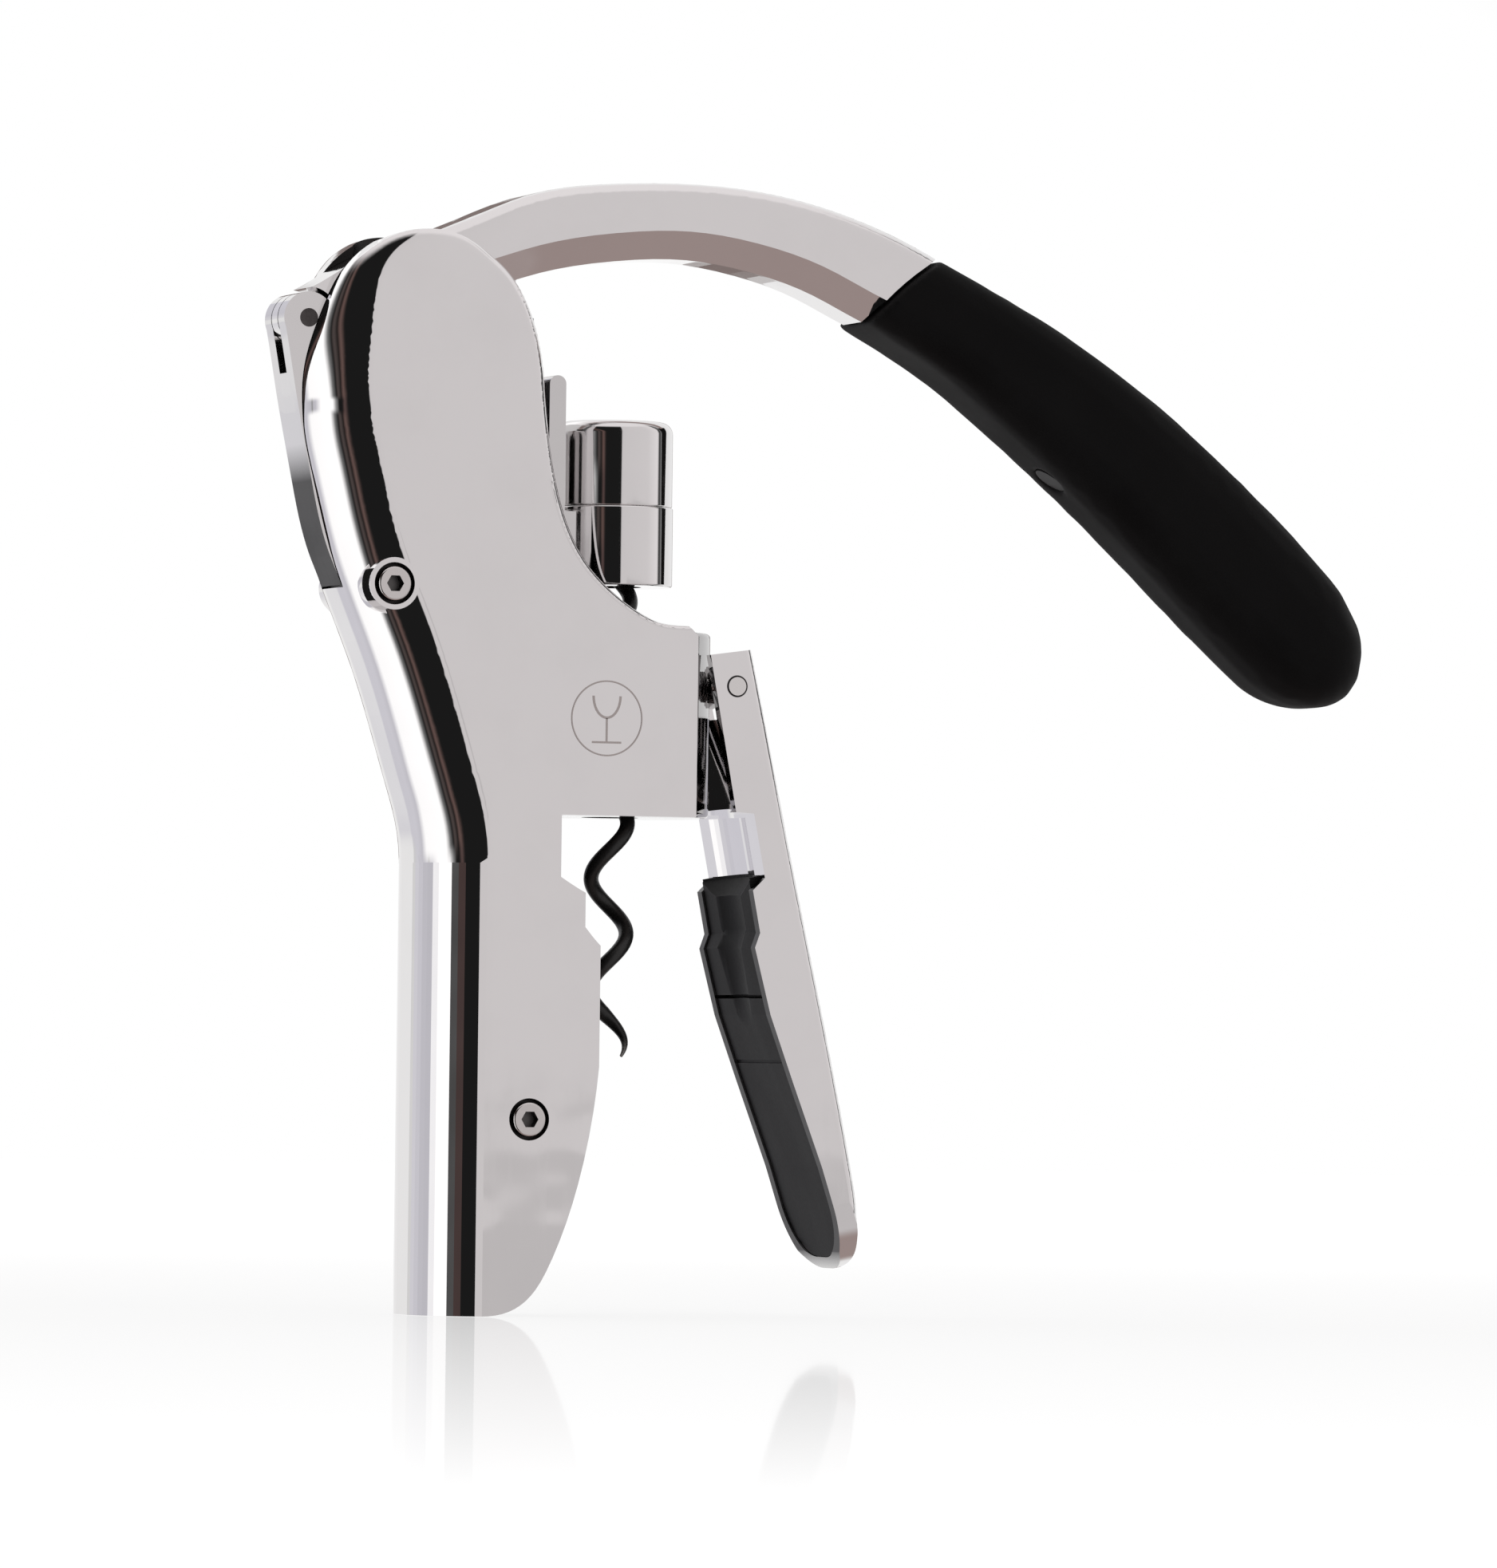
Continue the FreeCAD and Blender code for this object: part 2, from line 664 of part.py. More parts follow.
def junction(offset):
    """Slightly hollow line where the metal arm meets the soft handle."""
    direction = (math.cos(math.radians(-42)), math.sin(math.radians(-42)))
    middle = ((JUNCTION_TOP[0] + JUNCTION_LOW[0]) / 2 - 0.5, (JUNCTION_TOP[1] + JUNCTION_LOW[1]) / 2 + 0.5)
    shifted = [(p[0] + direction[0] * offset, p[1] + direction[1] * offset)
               for p in (JUNCTION_TOP, middle, JUNCTION_LOW)]
    return shifted


def arc(points):
    return [Part.Arc(*[at(p) for p in points]).toShape()]


def lever_arm():
    half = ARM_WIDTH / 2
    end = junction(0)
    neck_x = -36.0
    top = [(neck_x, 92.6), (-28.0, 95.9), (-17.0, 100.4), (-3.0, 102.7), (10.0, 103.2), (23.4, 102.3), (37.4, 99.2), end[0]]
    low = [end[2], (32.0, 86.2), (20.8, 89.5), (9.7, 90.9), (-1.4, 90.3), (-16.0, 87.5), (-26.0, 84.4), (neck_x, 85.0)]
    bow = extrude([*curve(top, (11, 5), (15, -8)), *arc(end), *curve(low, (-9, 4), (-8, 2)),
                   *lines(low[-1], top[0])], -half, half)
    bow = rounded(bow, lambda p: 2.4 if flat_edge(p, half) and p.z > 92.5 and neck_x < p.x < 53 else None)
    bevel = [e for e in bow.Edges if e.BoundBox.YLength < 0.01 and flat_edge(e.valueAt(e.FirstParameter), half)]
    bevel = [e for e in bevel if e.BoundBox.ZMax < 91.5 and e.BoundBox.XLength > 40]
    bow = bow.makeChamfer(ARM_BEVEL_HEIGHT, ARM_BEVEL_WIDTH, bevel)
    root_half = SLOT_WIDTH / 2 - 0.4
    clear = ROCKER_EAR_RADIUS + 0.8
    back = [(-56.0, 83.2), (-49.6, 86.6), (-44.2, 89.6), top[0]]
    root = extrude([*curve(back, (6, 2), (8, 3)), *lines(top[0], low[-1], (-46.0, 76.0), (-49.0, 78.0), back[0])],
                   -root_half, root_half)
    root = root.cut(rod_y(LEVER_PIVOT, clear, -20, 20))
    tongue_half = ROCKER_GAP / 2 - GAP
    tongue = rod_y(LEVER_PIVOT, ROCKER_EAR_RADIUS, -tongue_half, tongue_half)
    web = prism([LEVER_PIVOT, (-54.2, 83.2), (-44.0, 86.0), (-44.0, 77.0), (-47.5, 75.0)],
                -tongue_half, tongue_half)
    return bow.fuse([root, tongue, web, crank_plate(), tang()]).cut(lever_holes()).removeSplitter()


def crank_plate():
    pin = crank_pin_centre()
    half = crank_half()
    boss = CRANK_PIN_RADIUS + 2.0
    reach = math.radians(CRANK_ANGLE)
    inner = (pin[0] - boss * 0.85, pin[1] - boss * 0.53)
    outer = (pin[0] + boss * math.cos(reach / 3), pin[1] + boss * 0.3)
    blade = prism([(-47.5, 75.2), inner, outer, (-18.0, 88.0), (-30.0, 90.0), (-46.0, 82.0)], -half, half)
    blade = blade.fuse(rod_y(pin, boss, -half, half))
    return blade.cut(rod_y(LEVER_PIVOT, ROCKER_EAR_RADIUS + 0.8, -20, 20))


def tang_line():
    return [(44.0, 90.0), (60.0, 80.5), (88.5, 60.4), (104.0, 46.5)]


def tang():
    """Flat bar that runs from the arm into the handle."""
    bars = []
    path = tang_line()
    for start, end in zip(path, path[1:]):
        length = math.hypot(end[0] - start[0], end[1] - start[1])
        bar = box((0, -TANG_WIDTH / 2, -TANG_DEPTH / 2), (length, TANG_WIDTH / 2, TANG_DEPTH / 2))
        bar.rotate(Vector(0, 0, 0), Vector(0, -1, 0), math.degrees(math.atan2(end[1] - start[1], end[0] - start[0])))
        bar.translate(at(start))
        bars += [bar, rod_y(end, TANG_DEPTH / 2, -TANG_WIDTH / 2, TANG_WIDTH / 2)]
    return bars[0].fuse(bars[1:])


def lever_holes():
    return [
        rod_y(LEVER_PIVOT, ROCKER_PIN_RADIUS + PIN_FIT, -20, 20),
        rod_y(crank_pin_centre(), CRANK_PIN_RADIUS, -20, 20),
        handle_screw_rod(SCREW_RADIUS + RUNNING, 0),
    ]


def handle_screw_place():
    return (82.0, 65.0), -35.2


def handle_screw_rod(radius, extra):
    """Cylinder across the tang from the handle's underside."""
    place, slope = handle_screw_place()
    rod = Part.makeCylinder(radius, 15.0 + extra, Vector(0, 0, -12.0))
    rod.rotate(Vector(0, 0, 0), Vector(0, -1, 0), slope)
    rod.translate(at(place))
    return rod


def handle_screw():
    place, slope = handle_screw_place()
    head = Part.makeCylinder(SCREW_HEAD_RADIUS, 2.2, Vector(0, 0, -9.6))
    shank = Part.makeCylinder(SCREW_RADIUS, 10.4, Vector(0, 0, -7.4))
    screw = head.fuse(shank)
    screw.rotate(Vector(0, 0, 0), Vector(0, -1, 0), slope)
    screw.translate(at(place))
    return screw


def handle_grip():
    half = HANDLE_WIDTH / 2
    start = junction(0.5)
    top = [start[0], (73.9, 82.4), (95.1, 68.8), (116.3, 51.1), (127.0, 40.1)]
    nose = [top[-1], (131.0, 28.6), (122.5, 20.6)]
    low = [nose[-1], (109.2, 26.6), (88.5, 46.0), (67.3, 64.5), (53.2, 74.9), start[2]]
    body = extrude([
        *curve(top, (17, -8), (9, -11)),
        *curve(nose, (4, -6), (-8, 0)),
        *curve(low, (-8, 0), (-10, 6)),
        *arc(start),
    ], -half, half)

    def soft(point):
        on_junction = any(math.hypot(point.x - p[0], point.z - p[1]) < 0.3 for p in (start[0], start[1], start[2]))
        if not flat_edge(point, half):
            return None
        if on_junction:
            return None if math.hypot(point.x - start[1][0], point.z - start[1][1]) < 0.3 else 4.5
        return 7.6

    body = rounded(body, soft)
    hollow = tang()
    place, slope = handle_screw_place()
    head_hole = Part.makeCylinder(SCREW_HEAD_RADIUS + RUNNING, 12.6, Vector(0, 0, -20.0))
    head_hole.rotate(Vector(0, 0, 0), Vector(0, -1, 0), slope)
    head_hole.translate(at(place))
    return body.cut([hollow, head_hole, handle_screw_rod(SCREW_RADIUS + RUNNING, 0)])


def crank_pin():
    half = ear_inner() + EAR_THICKNESS + 1.4
    return rod_y(crank_pin_centre(), CRANK_PIN_RADIUS, -half, half).cut(
        sleeve_y(crank_pin_centre(), CRANK_PIN_RADIUS + 1, CRANK_PIN_RADIUS - 0.4,
                 ear_inner() + EAR_THICKNESS + 0.3, ear_inner() + EAR_THICKNESS + 0.9)).cut(
        sleeve_y(crank_pin_centre(), CRANK_PIN_RADIUS + 1, CRANK_PIN_RADIUS - 0.4,
                 -(ear_inner() + EAR_THICKNESS + 0.9), -(ear_inner() + EAR_THICKNESS + 0.3)))


def pin_clip():
    low = -(ear_inner() + EAR_THICKNESS + 0.9)
    clip = sleeve_y(crank_pin_centre(), CRANK_PIN_RADIUS + 1.3, CRANK_PIN_RADIUS - 0.4, low, low + 0.6)
    x, z = crank_pin_centre()
    return clip.cut(box((x - 1.0, low - 1, z), (x + 1.0, low + 2, z + 10)))


# ---------------------------------------------------------------- clamping grip

def swung_open(shape):
    shape.rotate(at(GRIP_PIVOT), Vector(0, -1, 0), GRIP_OPEN_ANGLE)
    return shape


def grip_edge():
    """Bottle side of the closed grip's plates from the toe up, with a step into the lip cup."""
    return [(19.4, GRIP_TOE_Z + 3.0), (17.6, -58.0), (15.0, -43.0), (13.2, -32.0), (12.5, -20.8), (13.8, -18.6),
            (13.8, -LIP_DEPTH - 1.6), (16.2, -LIP_DEPTH), (16.2, 0.6), (13.2, 1.4), (13.4, 27.2)]


def grip_outline():
    """Closed grip from the side."""
    outer = [(20.8, 26.8), (21.6, -6.6), (22.6, -40.0), (22.9, -62.0)]
    toe = [outer[-1], (22.3, -70.8), (20.6, GRIP_TOE_Z)]
    return [*curve(outer, (1, -33), (0, -22)), *curve(toe, (0, -9), (-5, -1)),
            *lines(toe[-1], *grip_edge(), outer[0])]


def spoon(inset):
    """Grip seen from the bottle: straight sides that round into the toe."""
    half = HALF_WIDTH - inset
    low = GRIP_TOE_Z + inset
    corner = GRIP_TOE_RADIUS - inset
    block = box((0, -half, low), (40, half, 40))
    edges = [e for e in block.Edges if e.BoundBox.XLength > 39 and e.BoundBox.ZMax < 0]
    return block.makeFillet(corner, edges)


def grip_shell():
    shell = extrude(grip_outline(), -HALF_WIDTH, HALF_WIDTH)

    def front(point):
        long_edge = point.x > 20.9 and -66.2 < point.z < 26.9
        toe_edge = point.z < -66.0 and point.x > 21.0
        return GRIP_FRONT_RADIUS if flat_edge(point, HALF_WIDTH) and (long_edge or toe_edge) else None

    shell = rounded(shell, front).common(spoon(0.0))
    half = HALF_WIDTH - GRIP_PLATE
    upper = box((0, -half, 1.5), (GRIP_BACK_X, half, 40))
    window = box((0, -half, GRIP_PIVOT[1] - 5.4), (40, half, 40))
    nose_room = rod_z(NOSE_RADIUS + 2 * GAP, 0, 40)
    shell = shell.cut([upper, window, nose_room, pad_room(0.0), neck_tool()])
    return swung_open(shell.cut(rod_y(GRIP_PIVOT, GRIP_PIN_RADIUS + PIN_FIT, -20, 20)).removeSplitter())


def pad_room(clearance):
    """Pocket of the grip shell behind the pad, below the lip cup, less a clearance at its sides."""
    outline = [(0, -LIP_DEPTH + 0.5), (19.6, -LIP_DEPTH + 0.5), (20.6, -40.0), (21.0, -62.0),
               (20.9, GRIP_TOE_Z), (0, GRIP_TOE_Z)]
    return prism(outline, -HALF_WIDTH, HALF_WIDTH).common(spoon(GRIP_PLATE + clearance))


def grip_pad():
    room = pad_room(2 * RUNNING)
    face = [(x + PAD_RECESS, z) for x, z in grip_edge()[:6]]
    toe_x = face[0][0] + 0.4
    block = prism([(face[-1][0], -LIP_DEPTH + 0.4), (30, -LIP_DEPTH + 0.4), (30, GRIP_TOE_Z), (toe_x, GRIP_TOE_Z),
                   *face], -HALF_WIDTH, HALF_WIDTH)
    pad = room.common(block).cut(neck_tool(GAP))
    grooves = []
    for z in (-29.0, -40.0):
        grooves.append(box((0, -HALF_WIDTH, z - 0.3), (PAD_GROOVE_X, HALF_WIDTH, z + 0.3)))
    return swung_open(pad.cut(grooves))


def grip_pin():
    return rod_y(GRIP_PIVOT, GRIP_PIN_RADIUS, -HALF_WIDTH - 0.15, HALF_WIDTH + 0.15)


def grip_washer():
    return sleeve_y(GRIP_PIVOT, GRIP_PIN_RADIUS + 0.9, GRIP_PIN_RADIUS + RUNNING,
                    -(HALF_WIDTH - GRIP_PLATE) + 0.1, -(HALF_WIDTH - GRIP_PLATE) + 0.8)


def grip_spring():
    """Torsion spring on the hinge pin: a coil with one leg down the nose and one down the grip."""
    wire, mean, pitch, turns = 0.4, 2.15, 0.95, 3
    coil_path = Part.makeHelix(pitch, pitch * turns, mean)
    section = Part.Wire(Part.makeCircle(wire, Vector(mean, 0, 0), Vector(0, 1, pitch / (2 * math.pi * mean))))
    coil = Part.Wire(coil_path.Edges).makePipeShell([section], True, True)
    coil.rotate(Vector(0, 0, 0), Vector(0, 0, 1), 180)
    coil.rotate(Vector(0, 0, 0), Vector(1, 0, 0), 90)
    low_y = -(HALF_WIDTH - GRIP_PLATE) + 4.2
    coil.translate(at(GRIP_PIVOT, low_y))
    return coil


def main():
    os.makedirs("parts", exist_ok=True)
    near_half = casing()
    write("left_casing", near_half)
    write("right_casing", mirrored(near_half))
    write("head_block", head_block())
    write("worm_nut", worm_nut())
    write("nut_retainer", nut_retainer())
    write("rear_jaw_pad", rear_jaw_pad())
    write("left_guide_rail", guide_rail())
    write("right_guide_rail", mirrored(guide_rail()))
    write("rail_bumpers", *both_sides(rail_bumper()))
    write("rocker_axle", axle_tube())
    write("axle_spacers", *both_sides(axle_spacer()))
    write("axle_screws", *both_sides(socket_screw(ROCKER_PIVOT, 8.0)))
    write("lower_spacer", lower_spacer())
    write("lower_screws", *both_sides(socket_screw(LOWER_SCREW, 8.0)))
    write("grip_hinge_pin", grip_pin())
    write("grip_springs", *both_sides(grip_spring()))
    write("carriage_bracket", carriage_bracket())
    write("worm_housing", worm_housing())
    write("worm_cap", worm_cap())
    write("guide_shoes", *guide_shoes())
    write("thrust_washer", thrust_washer())
    write("bearing_bush", bearing_bush())
    write("housing_screws", *[housing_screw(z) for z in housing_screw_heights()])
    write("worm", worm())
    write("worm_head", worm_head())
    write("head_clip", head_clip())
    write("rocker_link", rocker_link())
    write("rocker_bushes", *both_sides(rocker_bush()))
    write("rocker_pin", rocker_pin())
    write("lever_arm", lever_arm())
    write("handle_grip", handle_grip())
    write("handle_screw", handle_screw())
    write("crank_pin", crank_pin())
    write("pin_clips", *both_sides(pin_clip()))
    write("grip_shell", grip_shell())
    write("grip_pad", grip_pad())
    write("grip_washers", *both_sides(grip_washer()))


main()
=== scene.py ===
import math

import bmesh
import bpy
from bpy.props import FloatProperty, FloatVectorProperty, PointerProperty
from mathutils import Matrix, Vector
from mathutils.kdtree import KDTree


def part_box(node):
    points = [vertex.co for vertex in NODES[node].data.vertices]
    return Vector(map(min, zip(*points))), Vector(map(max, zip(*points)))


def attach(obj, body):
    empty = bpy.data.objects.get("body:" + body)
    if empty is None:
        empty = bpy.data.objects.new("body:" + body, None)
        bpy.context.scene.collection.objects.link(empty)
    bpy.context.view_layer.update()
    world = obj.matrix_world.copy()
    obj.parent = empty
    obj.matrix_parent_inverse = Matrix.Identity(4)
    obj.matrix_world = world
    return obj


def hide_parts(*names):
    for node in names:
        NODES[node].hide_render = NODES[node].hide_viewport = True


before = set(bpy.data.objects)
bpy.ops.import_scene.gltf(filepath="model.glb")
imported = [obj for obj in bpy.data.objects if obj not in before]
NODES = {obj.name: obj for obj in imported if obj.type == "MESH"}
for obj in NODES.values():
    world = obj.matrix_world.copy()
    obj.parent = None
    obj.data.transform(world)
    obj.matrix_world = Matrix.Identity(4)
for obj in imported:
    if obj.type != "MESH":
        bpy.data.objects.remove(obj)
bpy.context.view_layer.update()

bl_info = {
    "name": "Lever Corkscrew Looks",
    "version": (1, 0, 0),
    "blender": (4, 5, 0),
    "location": "View3D > Sidebar > Corkscrew",
    "description": "Finishes, trim and studio for a lever corkscrew",
    "category": "Object",
}

MM = 0.001
CHEEK_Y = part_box("left_casing")[0].y
BASE_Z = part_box("left_casing")[0].z

# Spine and crown of the casing from the side, with the radius of their rounding, in mm
SPINE = [
    (-34.6, -80.8, 10.3), (-34.6, -44.0, 10.3), (-34.6, -8.0, 10.3), (-37.2, 5.0, 10.3),
    (-43.4, 24.0, 10.3), (-50.1, 41.0, 10.3), (-53.8, 55.0, 10.3), (-55.4, 67.0, 10.3),
    (-52.6, 79.0, 9.4), (-46.0, 90.0, 8.6), (-35.5, 93.8, 4.8), (-25.0, 89.4, 2.0),
]
COUNTERBORE = 3.42 * MM
SOCKET = 1.68 * MM
# Radius of the painted shadow ring round the hinge pin's end
HINGE_SHADOW_RADIUS = 1.62 * MM
EMBLEM_PROUD = 0.015 * MM

# The rounding starts more sharply than an arc: its extra lean grows, holds and fades with the turn
CHEEK_LEAN = math.radians(6.5)
LEAN_IN = math.radians(6.2)
LEAN_HOLD = math.radians(10.0)
LEAN_OUT = math.radians(22.0)

# Painted shade on the rocker's rear edge below these heights, and on the grip's rim between these ones
ROCKER_SHADE_HEIGHTS = (59 * MM, 53 * MM)
RIM_TOP = (-9 * MM, -10 * MM)
RIM_TOE = (-74 * MM, -70 * MM)

# The floor's mirror image fades with the drop below the base, seen from the eye's distance and height
FLOOR_DROP = 0.05 * MM
MIRROR_SHARE = 0.42
MIRROR_EYE = 1.8
MIRROR_HEIGHT = 0.039
MIRROR_DEPTH = 0.031

# Camera's aim, beside the settings of the panel
PAN = math.radians(0.716)
TILT = math.radians(1.52)
ROLL = math.radians(0.714)

# Degrees in the room: the dark strip's start from the tool's front, then two rings about the camera's aim.
# STRETCH draws the strip out where a face looks up.
STRIP_START = 5.5
RIM_TURNS = (16, 12)
GATE_TURNS = (9, 7)
STRETCH = 0.46

UPPER_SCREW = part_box("axle_screws")[0].lerp(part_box("axle_screws")[1], 0.5)
LOWER_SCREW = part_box("lower_screws")[0].lerp(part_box("lower_screws")[1], 0.5)
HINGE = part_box("grip_hinge_pin")[0].lerp(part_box("grip_hinge_pin")[1], 0.5)


# ---------------------------------------------------------------- shader expressions

class Sock:
    """A shader socket that can be used in Python expressions."""

    def __init__(self, finish, socket):
        self.finish = finish
        self.socket = socket

    def _math(self, operation, a, b=None):
        return self.finish.math(operation, a, b)

    def __add__(self, other):
        return self._math("ADD", self, other)

    __radd__ = __add__

    def __sub__(self, other):
        return self._math("SUBTRACT", self, other)

    def __rsub__(self, other):
        return self._math("SUBTRACT", other, self)

    def __mul__(self, other):
        return self._math("MULTIPLY", self, other)

    __rmul__ = __mul__

    def __truediv__(self, other):
        return self._math("DIVIDE", self, other)

    def __rtruediv__(self, other):
        return self._math("DIVIDE", other, self)

    def __neg__(self):
        return self._math("MULTIPLY", self, -1.0)

    def __abs__(self):
        return self._math("ABSOLUTE", self)

    def __gt__(self, other):
        return self._math("GREATER_THAN", self, other)

    def __lt__(self, other):
        return self._math("LESS_THAN", self, other)

    def __pow__(self, other):
        return self._math("POWER", self, other)


class Finish:
    """A material, or a world, made of nodes from one method."""

    def __init__(self, name, world=False):
        self.data = bpy.data.worlds.new(name) if world else bpy.data.materials.new(name)
        self.data.use_nodes = True
        self.tree = self.data.node_tree
        kind = "ShaderNodeBackground" if world else "ShaderNodeBsdfPrincipled"
        self.shader = next(n for n in self.tree.nodes if n.bl_idname == kind)

    def put(self, socket, value):
        if isinstance(value, Sock):
            self.tree.links.new(value.socket, socket)
        elif value is not None:
            socket.default_value = value

    def node(self, kind, settings=None, sockets=None, out=0):
        """One node: its settings first, then the values or links of its sockets."""
        made = self.tree.nodes.new(kind)
        for key, value in (settings or {}).items():
            if key == "stops":
                self._stops(made.color_ramp, value)
            else:
                setattr(made, key, value)
        for key, value in (sockets or {}).items():
            self.put(made.inputs[key], value)
        return Sock(self, made.outputs[out])

    def _stops(self, ramp, stops):
        while len(ramp.elements) > 1:
            ramp.elements.remove(ramp.elements[-1])
        ramp.elements[0].position = stops[0][0]
        ramp.elements[0].color = stops[0][1]
        for place, colour in stops[1:]:
            ramp.elements.new(place).color = colour

    def set(self, **values):
        """Sets the surface shader's sockets, named with underscores for spaces."""
        for key, value in values.items():
            self.put(self.shader.inputs[key.replace("_", " ")], value)
        return self.data

    def math(self, operation, a, b=None):
        return self.node("ShaderNodeMath", {"operation": operation}, {0: a, 1: b})

    def place(self):
        return self.node("ShaderNodeTexCoord", out="Object")

    def axes(self):
        split = self.tree.nodes.new("ShaderNodeSeparateXYZ")
        self.put(split.inputs[0], self.place())
        return [Sock(self, split.outputs[i]) for i in range(3)]

    def facing(self):
        split = self.tree.nodes.new("ShaderNodeSeparateXYZ")
        self.put(split.inputs[0], self.node("ShaderNodeTexCoord", out="Normal"))
        return [Sock(self, split.outputs[i]) for i in range(3)]

    def from_axis(self, centre):
        """Distance from an axis that runs across the tool."""
        x, _, z = self.axes()
        return ((x - centre.x) * (x - centre.x) + (z - centre.z) * (z - centre.z)) ** 0.5

    def noise(self, size_mm, detail=3.0, roughness=0.55, stretch=None):
        """Noise from 0 to 1 whose features are about size_mm across, stretched along an axis if asked."""
        vector = self.place()
        if stretch:
            vector = self.node("ShaderNodeMapping", {}, {"Vector": vector, "Scale": stretch})
        sockets = {"Vector": vector, "Scale": 1 / (size_mm * MM), "Detail": detail, "Roughness": roughness}
        return self.node("ShaderNodeTexNoise", {"noise_dimensions": "3D"}, sockets)

    def spread(self, value, low, high, to_low=0.0, to_high=1.0):
        """Value from low to high turned into to_low to to_high, held at the ends."""
        sockets = {0: value, 1: low, 2: high, 3: to_low, 4: to_high}
        return self.node("ShaderNodeMapRange", {"clamp": True}, sockets)

    def smooth(self, value, low, high):
        """Value from low to high turned into 0 to 1 with soft ends."""
        sockets = {0: value, 1: low, 2: high}
        return self.node("ShaderNodeMapRange", {"interpolation_type": "SMOOTHSTEP"}, sockets)

    def mix(self, factor, a, b):
        made = self.tree.nodes.new("ShaderNodeMix")
        made.data_type = "RGBA"
        self.put(made.inputs[0], factor)
        self.put(made.inputs[6], a)
        self.put(made.inputs[7], b)
        return Sock(self, made.outputs[2])

    def edges(self, radius_mm=0.35):
        """Mask of worn edges: 1 where a bevelled normal leaves the true one."""
        bevel = self.node("ShaderNodeBevel", {"samples": 4}, {"Radius": radius_mm * MM})
        true = self.node("ShaderNodeNewGeometry", out="Normal")
        dot = self.node("ShaderNodeVectorMath", {"operation": "DOT_PRODUCT"}, {0: bevel, 1: true}, "Value")
        return self.spread(dot, 0.995, 0.93)

    def bump(self, height, depth_mm, strength=1.0):
        sockets = {"Height": height, "Distance": depth_mm * MM, "Strength": strength}
        return self.node("ShaderNodeBump", {}, sockets)


def rgba(colour):
    return (*colour, 1.0)


# ---------------------------------------------------------------- finishes

def plated(name, colour, gloss=0.045, haze=0.05, ripple=0.0, shade=None):
    """Chrome plate: faint haze from handling, hairline wipe marks, a slow ripple of the casting.

    shade(finish) gives a mask of painted shade: surfaces painted dark and made rougher, such as recesses."""
    finish = Finish(name)
    smudge = finish.spread(finish.noise(14, 4, 0.6), 0.45, 0.75)
    wipes = finish.spread(finish.noise(1.4, 2, 0.5, (1.0, 1.0, 0.12)), 0.52, 0.80)
    tint = finish.mix(smudge * 0.5, rgba(colour), rgba([c * 0.95 for c in colour]))
    rough = gloss + smudge * haze + wipes * 0.02
    if shade:
        # Painted shade: the mask darkens the plate to near black and roughens it
        painted_shade = shade(finish)
        tint = finish.mix(painted_shade, tint, (0.035, 0.033, 0.033, 1.0))
        rough = rough + painted_shade * 0.32
    finish.set(Base_Color=tint, Metallic=1.0, Roughness=rough)
    if ripple:
        finish.set(Normal=finish.bump(finish.noise(26, 2, 0.5), ripple))
    return finish.data


def casing_shade(finish):
    """Painted shade on the casing's inner faces and on the floors round its screws."""
    y = finish.axes()[1]
    ny = finish.facing()[1]
    side = finish.math("SIGN", y)
    inner = finish.spread(ny * side, -0.15, -0.35)
    for screw in (UPPER_SCREW, LOWER_SCREW):
        bore_shade = (finish.from_axis(screw) < COUNTERBORE) * (abs(y) < -CHEEK_Y - 0.25 * MM)
        inner = finish.math("MAXIMUM", inner, bore_shade)
    return inner


def socket_shade(finish):
    """Painted shade in the hex sockets of the screws."""
    deep = abs(finish.axes()[1]) < -CHEEK_Y + 0.05 * MM
    upper = finish.from_axis(UPPER_SCREW) < SOCKET
    lower = finish.from_axis(LOWER_SCREW) < SOCKET
    return finish.math("MAXIMUM", upper, lower) * deep * 0.85


def ring_shade(finish):
    """Painted shadow in the gap ring round the hinge pin's end."""
    return finish.spread(abs(finish.from_axis(HINGE) - HINGE_SHADOW_RADIUS), 0.20 * MM, 0.12 * MM)


def grip_shade(finish):
    """Painted shadow in the gap ring round the hinge pin's end, and painted shade on the rim beside the pad.
    """
    z = finish.axes()[2]
    nx = finish.facing()[0]
    # Painted shade on the rim faces that look toward the neck, between the rim heights
    beside = finish.spread(z, *RIM_TOP) * finish.spread(z, *RIM_TOE)
    return finish.math("MAXIMUM", ring_shade(finish), finish.spread(nx, -0.30, -0.55) * beside)


def rocker_shade(finish):
    """Painted shade on the rocker's rear edge where it lies deep in the slot of the spine."""
    z = finish.axes()[2]
    nx = finish.facing()[0]
    return finish.spread(nx, -0.30, -0.60) * finish.spread(z, *ROCKER_SHADE_HEIGHTS)


def machined(name, colour, rough=0.28):
    """Ground or turned steel: fine lines round the part, darker in its pits."""
    finish = Finish(name)
    lines = finish.noise(0.5, 3, 0.6, (1.0, 0.08, 1.0))
    pits = finish.spread(finish.noise(2.5, 4, 0.65), 0.35, 0.62)
    finish.set(
        Base_Color=finish.mix(pits, rgba([c * 0.72 for c in colour]), rgba(colour)),
        Metallic=1.0,
        Roughness=rough + lines * 0.12,
        Normal=finish.bump(lines, 0.01, 0.5),
    )
    return finish.data


def soft_touch(name, colour):
    """Soft black grip coat: a very fine grain, a dusty bloom, and slightly polished ridges."""
    finish = Finish(name)
    grain = finish.noise(0.22, 3, 0.6)
    bloom = finish.spread(finish.noise(17, 5, 0.6), 0.38, 0.72)
    rub = finish.edges(1.2)
    finish.set(
        Base_Color=finish.mix(bloom, rgba(colour), rgba([c * 1.7 + 0.002 for c in colour])),
        Roughness=0.66 + bloom * 0.12 - rub * 0.12 + grain * 0.05,
        Specular_IOR_Level=0.14,
        Normal=finish.bump(grain, 0.03, 0.55),
    )
    return finish.data


